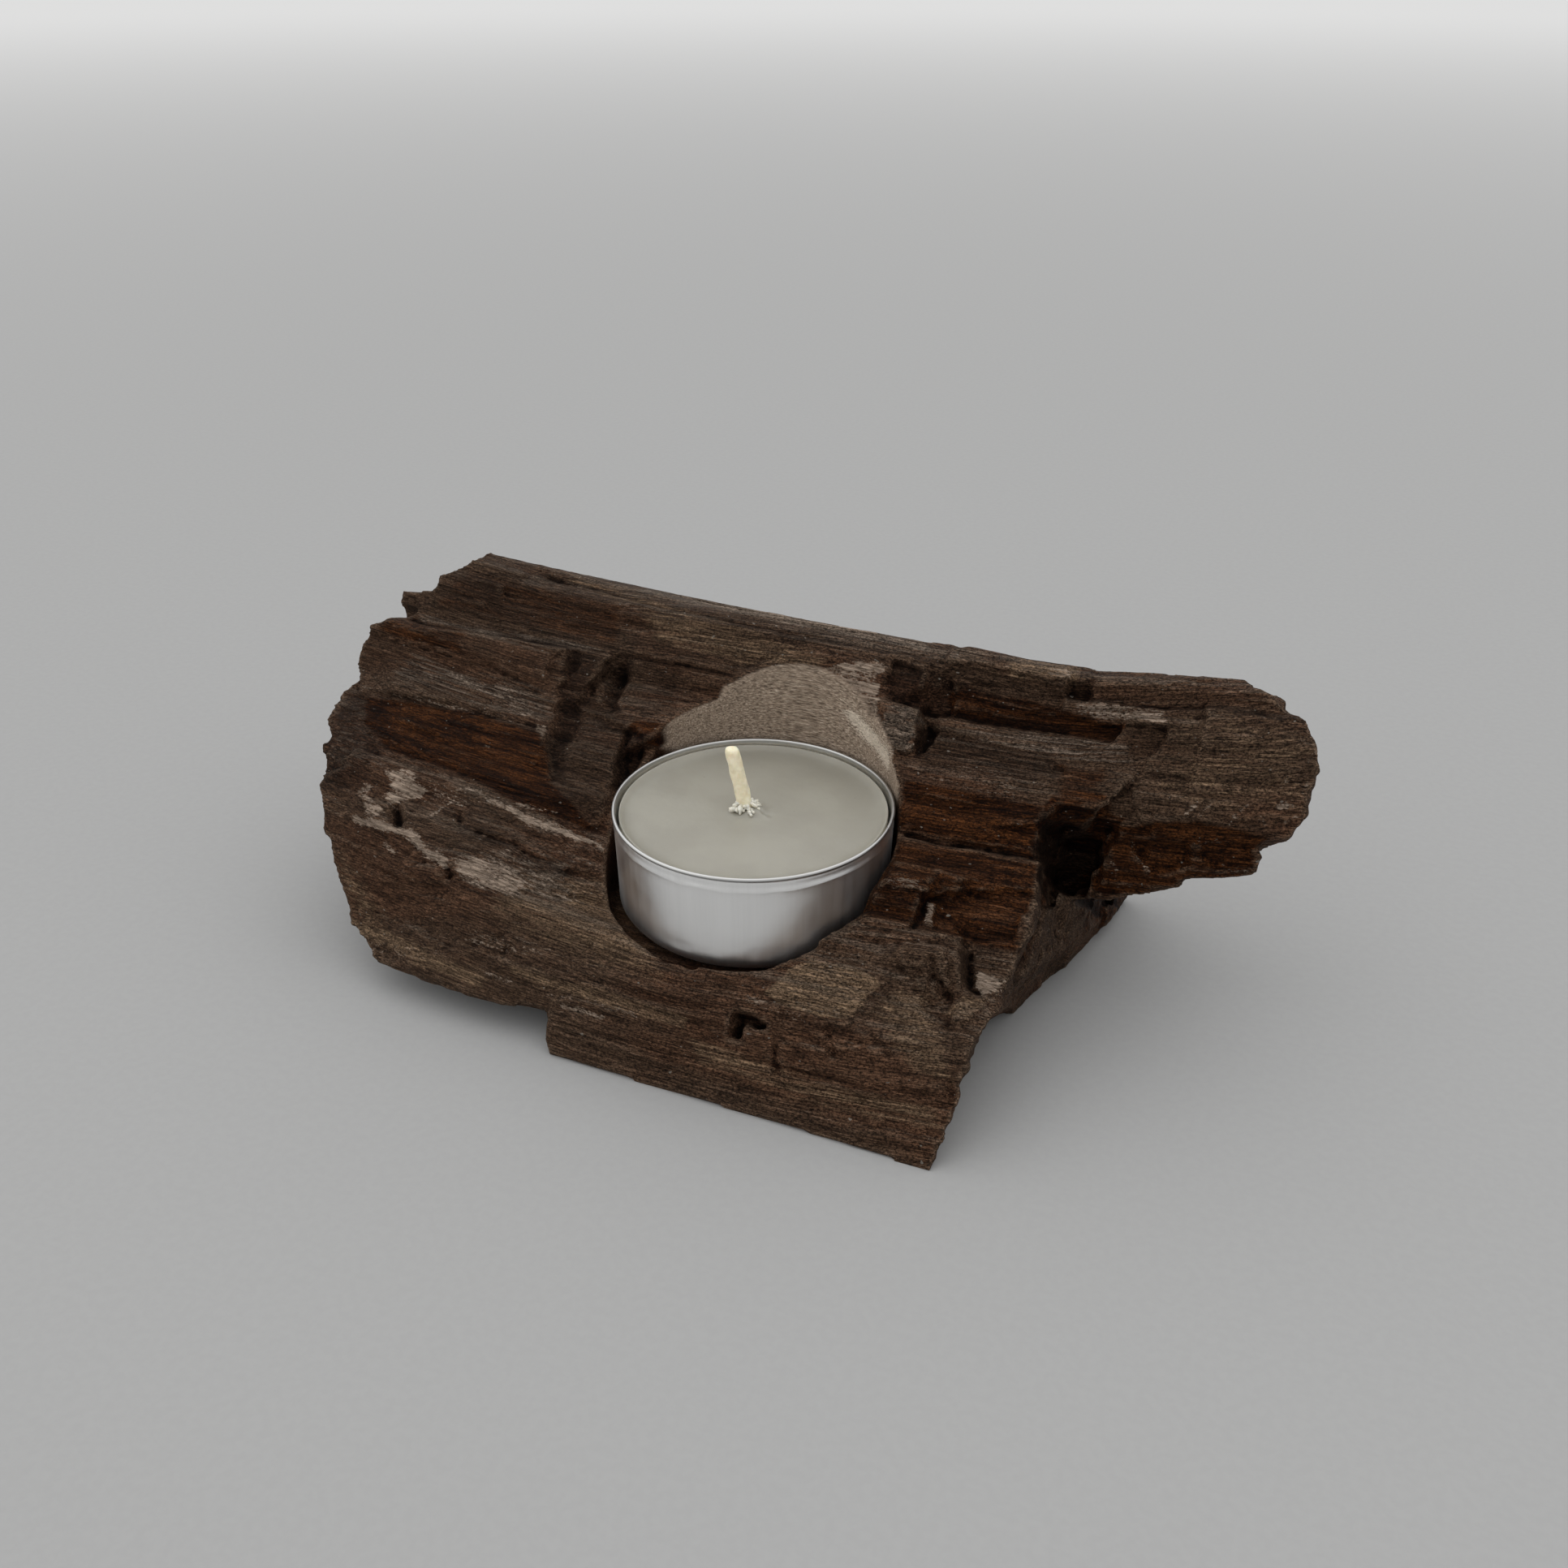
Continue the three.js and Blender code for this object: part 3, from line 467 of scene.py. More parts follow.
    ("weathering_and_sheen", 0.9, 1.0, [(-62, 39.4), (-50, 39.2), (-36, 39.8), (-30, 39.6), (-36, 38.4), (-50, 37.8), (-62, 38.4)]),
    ("weathering_and_sheen", 0.65, 1.0, [(21, 39.2), (40.6, 39.4), (47.5, 38.8), (48, 36), (45, 35.4), (36, 36.4), (27, 36.4)]),
    ("weathering_and_sheen", 0.3, 1.2, [(21.5, 28.8), (22, 32.2), (28, 34), (36, 34), (38, 30.6), (32, 28.4)]),
    ("weathering_and_sheen", 0.7, 2.5, [(-38, 4), (-22, 7), (-22, 0), (-34, -1)]),
    ("weathering_and_sheen", 1.0, 0.8, [(13, 38.6), (17.4, 39.2), (18.8, 35), (18.4, 32.4), (14, 32.5)]),
    ("weathering_and_sheen", 1.2, 0.6, [(-30, 50.2), (-20, 49.6), (-10, 48.8), (9, 48.2), (16.5, 47.6), (17, 54), (-30, 56)]),
    ("weathering_and_sheen", 0.5, 1.5, [(-66, 20), (-61, 19), (-58, 14), (-61, 12), (-66, 14)]),
]

# Dusty streaks: strength, half width in mm, then the line.
STREAKS = [
    (1.2, 0.75, [(-57, 5.4), (-55.7, 4.9), (-53.5, 5.5), (-51.4, 5.2), (-48.5, 5), (-47.6, 4.9)]),
    (1.3, 0.8, [(-47.4, 5), (-45.6, 4.4), (-44.7, 3.7), (-42.6, 2.9), (-41.1, 2.5), (-39.8, 1.9)]),
    (1.1, 0.7, [(-37, 1.5), (-35.5, 1), (-32.9, 1), (-30.3, 0.9)]),
    (0.8, 0.5, [(-44.9, 8.1), (-43.8, 9.7), (-43.1, 11.4), (-42.3, 13), (-40.2, 13.5), (-38, 12.6)]),
    (0.7, 0.4, [(-50.7, 2.8), (-48.3, 1.9)]),
    (1.3, 0.55, [(-37.4, 12.2), (-35.3, 12), (-32.8, 11.4), (-31.6, 10.9)]),
    (1.4, 0.65, [(-31, 10.8), (-28, 10.6), (-25.4, 10.4), (-23.8, 10.1)]),
    (1.1, 0.45, [(-23.4, 10.2), (-21.3, 10.2), (-20, 9.6)]),
    (0.8, 0.3, [(-33.8, 12.9), (-30.9, 12.9), (-27.6, 12.9)]),
    (0.45, 0.4, [(-66, 25.8), (-50, 25.9), (-40, 25.6)]),
    (0.8, 0.3, [(-42.6, 20.4), (-40.9, 20.5)]),
    (0.8, 0.25, [(26.8, 36.7), (31.4, 37), (35.9, 37), (39.5, 37)]),
    (0.6, 0.4, [(22.5, 29.4), (28, 29), (34, 29.2)]),
    (0.8, 0.3, [(55.8, 31.2), (57, 32.6)]),
    (0.7, 0.3, [(57.8, 31.6), (58.6, 33)]),
    (0.8, 0.35, [(62, 32.2), (63, 33.6)]),
    (0.8, 0.5, [(66.6, 34), (68.2, 34.8)]),
    (0.6, 0.35, [(69.4, 36.4), (70.2, 38.4)]),
    (0.6, 0.3, [(69.6, 40), (70, 42)]),
    (0.6, 0.3, [(68, 32.6), (69.4, 33.6)]),
    (0.6, 0.3, [(66.8, 36.6), (67.6, 38)]),
    (0.6, 0.25, [(64.6, 33), (65.8, 32.2)]),
    (0.8, 0.22, [(58.4, 39.6), (60, 39.8)]),
    (0.6, 0.3, [(49.6, 27.4), (50.6, 25.4), (52.4, 23.9)]),
    (0.6, 0.3, [(57.6, 28.6), (60, 29.6), (62, 29.2)]),
    (0.5, 0.3, [(61.5, 26.8), (63, 26.2), (65, 26.8)]),
    (0.6, 0.3, [(46.8, 24.6), (48, 23.6), (48.4, 22)]),
    (0.7, 0.3, [(16.6, 32.8), (17.6, 32.4), (18.6, 34)]),
    (0.5, 0.6, [(-6, -11.9), (-16, -11.7), (-19, -12)]),
    (0.7, 0.45, [(-29.5, -11.3), (-25.4, -11.7)]),
    (0.7, 0.4, [(-16.8, -12.9), (-10.8, -13.1)]),
    (0.5, 1.0, [(-50, -11.8), (-40, -11)]),
    (0.6, 0.3, [(-26, 31.8), (-24.8, 30.4)]),
    (0.6, 0.25, [(38.6, 8), (38.8, 4.6), (38.4, 2)]),
]
TAN_STREAKS = [
    (0.9, 1.2, [(-53.5, -9.2), (-46.1, -10.2), (-37, -11.7), (-30.4, -12.2)]),
    (0.9, 0.9, [(-24.7, -10), (-18.6, -10.4), (-11.5, -10.7), (-4.1, -10.8), (0.6, -11)]),
    (0.5, 1.0, [(-40, 49.4), (-25, 47.6), (-14, 46.6)]),
]
# Painted shade along cracks, steps and broken ends: strength, half width in mm, then the line.
PAINTED_SHADE_STREAKS = [
    (0.6, 0.5, [(-60, 19.4), (-52, 18.6), (-44, 17.6), (-36, 15.6)]),
    (0.5, 0.35, [(-58, 22.2), (-50, 21.4), (-45, 20.9)]),
    (0.5, 0.4, [(-50, 23.4), (-42, 22.2), (-37, 21)]),
    (0.8, 0.3, [(58, 45.1), (64, 45.4), (71, 46)]),
    (0.8, 0.35, [(18.2, 21.5), (24.7, 21), (29.5, 21.3), (34.4, 21.3), (39, 21.7)]),
    (0.8, 0.35, [(18.4, 39.5), (24.2, 39.6), (30, 39.8), (38, 39.8)]),
    (0.7, 0.3, [(-44, 49.4), (-40.6, 49), (-32.4, 48.7), (-23.4, 47.5), (-10.8, 47), (9.5, 46.6), (20, 46.2)]),
    (0.7, 0.3, [(-62.9, 38.2), (-56, 37.3), (-52.1, 37.7), (-47, 38.3), (-41.8, 38.7), (-36.5, 38.8), (-31, 38.9)]),
    (0.7, 0.25, [(-30, 39.1), (-23.4, 39.1), (-15.7, 39.2), (-10.6, 39.1)]),
    (0.6, 0.3, [(-47.5, 33.2), (-44, 32.4), (-38, 30.8)]),
    (0.6, 0.4, [(38.4, 44), (44.2, 44.5), (51.1, 44.8), (57.7, 45.3), (64, 46), (71, 46.8)]),
    (0.8, 0.5, [(33.4, 6.6), (34.2, 4), (34.8, 2.4), (36.2, 1.6)]),
    (0.7, 0.6, [(11, -9), (8.4, -8.9), (8.4, -11.2)]),
    (0.5, 0.4, [(24.4, -6.6), (21, -7.4), (16, -7.6), (13.6, -7.4)]),
    (0.9, 0.4, [(26.4, 12.4), (26.5, 9), (26, 7.8)]),
    (0.5, 1.2, [(-39, 7), (-33, 6.8), (-27.7, 5.2), (-22.7, 4.6)]),
    (0.8, 0.7, [(-51, 7.6), (-49.8, 6)]),
]


def line_distance(x, v, line):
    """Distance from each point to a line of points, and its signed side (above is positive)."""
    best = np.full(x.shape, 1e9)
    side = np.zeros(x.shape)
    for (ax, av), (bx, bv) in zip(line[:-1], line[1:]):
        ex, ev = bx - ax, bv - av
        t = np.clip(((x - ax) * ex + (v - av) * ev) / (ex * ex + ev * ev), 0, 1)
        dx, dv = x - ax - t * ex, v - av - t * ev
        d = np.hypot(dx, dv)
        nearer = d < best
        side = np.where(nearer, np.sign(ex * dv - ev * dx) * (1 if ex >= 0 else -1), side)
        best = np.where(nearer, d, best)
    return best, side


def inside_depth(x, v, outline):
    """How deep each point lies inside an outline; negative outside it."""
    closed = list(outline) + [outline[0]]
    inside = np.zeros(x.shape, bool)
    for (ax, av), (bx, bv) in zip(closed[:-1], closed[1:]):
        if av == bv:
            continue
        crossing = ((av > v) != (bv > v)) & (x < (bx - ax) * (v - av) / (bv - av) + ax)
        inside ^= crossing
    distance, _ = line_distance(x, v, closed)
    return np.where(inside, distance, -distance)


def ragged(x, v, amount):
    """Shifts places so that outlines end in broken fibres along x and waver a little along v."""
    thick = smooth_noise(301, x / 25, v / 1.9, 0 * x)
    thin = smooth_noise(303, x / 12, v / 0.7, 0 * x)
    dx = amount * (1.1 * thick + 0.5 * thin)
    dv = 0.22 * smooth_noise(304, x / 3.5, v / 3.5, 0 * x) + 0.1 * smooth_noise(305, x / 0.9, v / 0.9, 0 * x)
    return x + dx, v + dv


def relief(x, v):
    """How far the surface stands out along FACING, in mm."""
    height = np.zeros(x.shape)
    for rise, rag, outline in FLAKES:
        depth = inside_depth(*ragged(x, v, rag), outline)
        height += rise * lerp_step(depth, -0.12, 0.22)
    wx, wv = ragged(x, v, 0.15)
    for width, depth, line in CRACKS:
        distance, _ = line_distance(wx, wv, line)
        height -= depth * np.exp(-((distance / width) ** 2))
    for rise, reach, line in STEPS:
        distance, side = line_distance(wx, wv, line)
        signed = distance * side
        ends = lerp_step(x, line[0][0], line[0][0] + 4) * (1 - lerp_step(x, line[-1][0] - 3, line[-1][0]))
        height += rise * ends * lerp_step(signed, -0.2, 0.2) * np.exp(-np.maximum(signed, 0) / reach)
    for rise, (cx, cv), (wide, tall) in SWELLS:
        height += rise * np.exp(-(((x - cx) / wide) ** 2) - ((v - cv) / tall) ** 2)
    return np.maximum(height, -4.3)


def layer_mask(name, x, v):
    mask = np.zeros(x.shape)
    for layer, strength, soft, outline in PATCHES:
        if layer == name:
            depth = inside_depth(*ragged(x, v, 0.8), outline)
            mask = np.maximum(mask, strength * lerp_step(depth, -soft * 0.6, soft * 0.6))
    lines = {"dust": STREAKS, "tan": TAN_STREAKS, "dark": PAINTED_SHADE_STREAKS}.get(name, [])
    for strength, width, line in lines:
        distance, _ = line_distance(*ragged(x, v, 0.3), line)
        mask = np.maximum(mask, strength * np.exp(-((distance / width) ** 2)))
    return mask


# ---- The wood: its mesh ----------------------------------------------------------------------

def slab_into(bm, fibres):
    """A closed slab between straight fibres, given in order round its section."""
    left = [bm.verts.new(Vector(f[0]) * MM) for f in fibres]
    right = [bm.verts.new(Vector(f[-1]) * MM) for f in fibres]
    count = len(fibres)
    faces = [bm.faces.new([left[i], left[(i + 1) % count], right[(i + 1) % count], right[i]]) for i in range(count)]
    faces += [bm.faces.new(left), bm.faces.new(list(reversed(right)))]
    bmesh.ops.recalc_face_normals(bm, faces=faces)


def slope_place(p):
    return p[:, 0], (p[:, 1] + p[:, 2]) / math.sqrt(2)


def free_of_recess(p):
    """0 on the bored recess and on the resting face, 1 away from them."""
    radius = np.hypot(p[:, 0], p[:, 1])
    free = lerp_step(radius, RECESS_RADIUS + 0.3, RECESS_RADIUS + 1.4)
    free = np.maximum(free, lerp_step(recess_floor - p[:, 2], 0.5, 2.0))
    return free * lerp_step(p[:, 2], 0.2, 1.5)


def within_ends(p):
    """Cuts the chunk off where its broken ends lie."""
    x, v = slope_place(p)
    front = p @ FACING
    wear = 0.35 * smooth_noise(401, v / 1.1, front / 2.5, 0 * v) + 0.2 * smooth_noise(402, v / 0.45, front / 1.2, 0 * v)
    end = np.interp(v, *zip(*PLANK_END)) - 0.25 * np.maximum(np.interp(v, *zip(*PLANK_FRONT)) - front - 1, 0)
    x = np.where(v > PLANK_END[0][0], np.minimum(x, end + wear), x)
    end = np.interp(v, *zip(*FOOT_END)) - 0.3 * np.maximum(22 - front, 0)
    x = np.where(v < FOOT_END[-1][0], np.minimum(x, end + wear), x)
    end = np.interp(v, *zip(*RIDGE_END)) + 0.25 * np.maximum(14 - front, 0)
    x = np.where(v > RIDGE_END[0][0], np.maximum(x, end + wear), x)
    return np.column_stack([x, p[:, 1:]])


def soft_normals(mesh, rounds=2):
    n = smoothed(normals(mesh), edge_pairs(mesh), rounds)
    return n / (np.linalg.norm(n, axis=1, keepdims=True) + 1e-9)


def wood_mesh():
    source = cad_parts["wood_body"].data.copy()
    bm = bmesh.new()
    bm.from_mesh(source)
    bmesh.ops.remove_doubles(bm, verts=bm.verts, dist=1e-6)
    for fibres in SLABS.values():
        slab_into(bm, fibres)
    bm.to_mesh(source)
    bm.free()
    ob = add_object("wood", source)
    mesh = remeshed(ob, 0.5)
    # the broad undulation of the split faces, and the broken ends of thick bundles
    p = positions(mesh) / MM
    n = soft_normals(mesh)
    free = free_of_recess(p)
    end = lerp_step(np.abs(n[:, 0]), 0.35, 0.8)
    gx, gy, gz = grain_space(p)
    big, _ = fibre_bundles(21, gx, gy, gz, 7, 70)
    out = 0.24 * big + 0.2 * fbm(41, gx / 35, gy / 9, gz / 9)
    big_end, _ = fibre_bundles(51, gx * 0, gy, gz, 5.5, 9)
    mid_end = fbm(61, gy / 2.4, gz / 2.4, 0 * gx)
    p += n * (out * (1 - end) * free)[:, None]
    p[:, 0] += np.sign(n[:, 0]) * (0.4 * big_end + 0.4 * mid_end) * end * free
    tread = TREAD_NORMAL[1] * gy + TREAD_NORMAL[2] * gz
    riser = TREAD_NORMAL[2] * gy - TREAD_NORMAL[1] * gz
    side = (1 - end) * free * lerp_step(smooth_noise(521, gx / 28, gy / 12, gz / 12), -0.35, 0.35)
    p += TREAD_NORMAL * (0.4 * terraced(tread, 2.6, 501, gx) * side)[:, None]
    p += RISER_NORMAL * (0.3 * terraced(riser, 3.4, 511, gx) * side)[:, None]
    set_positions(mesh, p * MM)

    # the outline of both ends, and the foot at the back
    p = positions(mesh) / MM
    p[:, 0] += 1.4 * lerp_step(p[:, 0], 38, 42) * lerp_step(p[:, 1], 8, 16) * (1 - lerp_step(p[:, 2], 12, 18))
    p[:, 1] -= 1.7 * (1 - lerp_step(p[:, 2], 1, 6)) * lerp_step(-p[:, 1], 18, 23) * lerp_step(p[:, 0], -26, -22)
    low = lerp_step(-p[:, 0], 22, 26) * (1 - lerp_step(slope_place(p)[1], -11.5, -8)) * lerp_step(p @ FACING, 14, 17)
    p += np.array([0, -0.5, -0.8]) * (low * (1 - lerp_step(-p[:, 0], 52, 60)))[:, None]
    p = within_ends(p)
    set_positions(mesh, p * MM)

    # the flakes, cracks and steps
    p = positions(mesh) / MM
    n = soft_normals(mesh, 1)
    x, v = slope_place(p)
    facing = lerp_step(n @ FACING, -0.3, 0.1)
    facing *= np.maximum(lerp_step(v, 19.5, 21), lerp_step(p @ FACING, 4.0, 5.5))
    p += FACING * (relief(x, v) * facing * free_of_recess(p))[:, None]
    p[p[:, 2] < 0, 2] = 0
    set_positions(mesh, p * MM)
    mesh = remeshed(ob, 0.37)

    # thin fibre bundles and splintered ends
    p = positions(mesh) / MM
    n = soft_normals(mesh)
    free = free_of_recess(p)
    end = lerp_step(np.abs(n[:, 0]), 0.35, 0.8)
    gx, gy, gz = grain_space(p)
    mid, _ = fibre_bundles(31, gx, gy, gz, 2.6, 34)
    fine, border = fibre_bundles(71, gx, gy, gz, 1.0, 22)
    out = 0.11 * mid + 0.08 * fine - 0.05 * np.exp(-((border / 0.07) ** 2))
    out += 0.06 * fbm(81, gx / 11, gy / 1.3, gz / 1.3) + 0.05 * fbm(85, gx / 1.2, gy / 0.8, gz / 0.8)
    fine_end = fbm(91, gy / 0.9, gz / 0.9, gx / 0.9)
    p += n * (out * (1 - end) * free)[:, None]
    p[:, 0] += np.sign(n[:, 0]) * 0.25 * fine_end * end * free
    p[p[:, 2] < 0, 2] = 0
    set_positions(mesh, p * MM)

    p = positions(mesh) / MM
    n = normals(mesh)
    pairs = edge_pairs(mesh)
    # How hollow each place is, over a short and a wide reach; the shader paints shade into the hollows from these.
    near = np.einsum("ij,ij->i", smoothed(p, pairs, 6) - p, n)
    wide = np.einsum("ij,ij->i", smoothed(p, pairs, 60) - p, n)
    store(mesh, "hollow_near", near)
    store(mesh, "hollow_wide", wide)
    store(mesh, "grain", np.stack(grain_space(p), 1))
    x, v = slope_place(p)
    towards = soft_normals(mesh, 3) @ FACING
    facing = lerp_step(towards, 0.0, 0.3)
    sideways = lerp_step(towards, -0.45, -0.2)
    # Colour masks per layer. The layer of painted shade in shadowed recesses, cracks and broken ends also covers faces
    # turned partly away.
    for name in ("dust", "tan", "red", "dark", "weathering_and_sheen"):
        clear = np.maximum(lerp_step(v, 19.5, 21), lerp_step(p @ FACING, 4.0, 5.5))
        store(mesh, name, layer_mask(name, x, v) * (clear * sideways if name == "dark" else facing))
    radius = np.hypot(p[:, 0], p[:, 1])
    angle = np.degrees(np.arctan2(p[:, 1], p[:, 0]))
    # The bore wall mask; the shader darkens the whole wall with painted shade.
    bore = (1 - lerp_step(radius, RECESS_RADIUS + 0.15, RECESS_RADIUS + 0.55))
    bore *= lerp_step(p[:, 2], recess_floor - 1.2, recess_floor - 0.4)
    bore *= 1 - lerp_step(soft_normals(mesh, 2)[:, 2], 0.3, 0.5) * lerp_step(p[:, 2], recess_floor + 1, recess_floor + 2)
    # The fresh-cut colour is kept to the back of the wall; at the front and left the wall keeps its painted shade.
    soft = 30 * (1 - lerp_step(p[:, 2], 24, 28.5))
    waver = 2.5 * smooth_noise(411, 0 * angle, p[:, 2] * 1.3, 0 * angle)
    fresh = lerp_step(angle, 22, 28 + soft) * (1 - lerp_step(angle + waver, 148 - soft, 153))
    fresh *= lerp_step(p[:, 2] + 2 * smooth_noise(413, angle / 14, p[:, 2] / 4, 0 * angle), 13, 25)
    store(mesh, "bore", bore)
    store(mesh, "fresh", bore * fresh)
    wave = smooth_noise(412, angle / 6, p[:, 2] * 1.6, 0 * angle)
    pale = np.exp(-(((p[:, 2] - 31.0 - 0.11 * (angle - 42) + 0.5 * wave) / 1.6) ** 2))
    pale *= lerp_step(angle, 37, 42) * (1 - lerp_step(angle + 5 * wave, 62, 74))
    store(mesh, "pale", bore * pale)
    print("wood faces", len(mesh.polygons))
    return ob


# ---- Materials -------------------------------------------------------------------------------

class Graph:
    """A small helper for building node materials."""

    def __init__(self, name):
        self.material = bpy.data.materials.new(name)
        self.material.use_nodes = True
        self.tree = self.material.node_tree
        self.tree.nodes.clear()
        self.shader = self.node("ShaderNodeBsdfPrincipled")
        output = self.node("ShaderNodeOutputMaterial")
        self.tree.links.new(self.shader.outputs[0], output.inputs["Surface"])

    def node(self, kind, **settings):
        made = self.tree.nodes.new(kind)
        for key, value in settings.items():
            setattr(made, key, value)
        return made

    def put(self, socket, value):
        if isinstance(value, bpy.types.NodeSocket):
            self.tree.links.new(value, socket)
        elif isinstance(value, (tuple, list)) and len(value) == 3 and socket.type == "RGBA":
            socket.default_value = (*value, 1)
        else:
            socket.default_value = value

    def attribute(self, name, output="Fac"):
        return self.node("ShaderNodeAttribute", attribute_name=name).outputs[output]

    def math(self, operation, a, b=0.0, c=0.0, clamp=False):
        made = self.node("ShaderNodeMath", operation=operation, use_clamp=clamp)
        for socket, value in zip(made.inputs, (a, b, c)):
            self.put(socket, value)
        return made.outputs[0]

    def spread(self, value, low, high, to_low=0.0, to_high=1.0):
        made = self.node("ShaderNodeMapRange", interpolation_type="SMOOTHSTEP")
        for socket, v in zip(made.inputs, (value, low, high, to_low, to_high)):
            self.put(socket, v)
        return made.outputs[0]

    def mix(self, factor, a, b, blend="MIX"):
        made = self.node("ShaderNodeMix", data_type="RGBA", blend_type=blend)
        self.put(made.inputs["Factor"], factor)
        self.put(made.inputs[6], a)
        self.put(made.inputs[7], b)
        return made.outputs[2]

    def scaled(self, vector, scale):
        made = self.node("ShaderNodeVectorMath", operation="MULTIPLY")
        self.put(made.inputs[0], vector)
        made.inputs[1].default_value = scale
        return made.outputs[0]

    def noise(self, vector, scale=1.0, detail=2.0, roughness=0.5, distortion=0.0):
        made = self.node("ShaderNodeTexNoise")
        self.put(made.inputs["Vector"], vector)
        made.inputs["Scale"].default_value = scale
        made.inputs["Detail"].default_value = detail
        made.inputs["Roughness"].default_value = roughness
        made.inputs["Distortion"].default_value = distortion
        return made.outputs["Fac"]

    def ramp(self, value, stops):
        made = self.node("ShaderNodeValToRGB")
        self.put(made.inputs[0], value)
        ramp = made.color_ramp
        while len(ramp.elements) < len(stops):
            ramp.elements.new(0.5)
        for element, (place, colour) in zip(ramp.elements, stops):
            element.position = place
            element.color = (*colour, 1)
        return made.outputs[0]

    def bump(self, height, distance, strength=1.0, normal=None):
        made = self.node("ShaderNodeBump")
        self.put(made.inputs["Height"], height)
        made.inputs["Distance"].default_value = distance
        made.inputs["Strength"].default_value = strength
        if normal is not None:
            self.put(made.inputs["Normal"], normal)
        return made.outputs[0]

    def set(self, **values):
        for key, value in values.items():
            self.put(self.shader.inputs[key.replace("_", " ")], value)
        return self.material


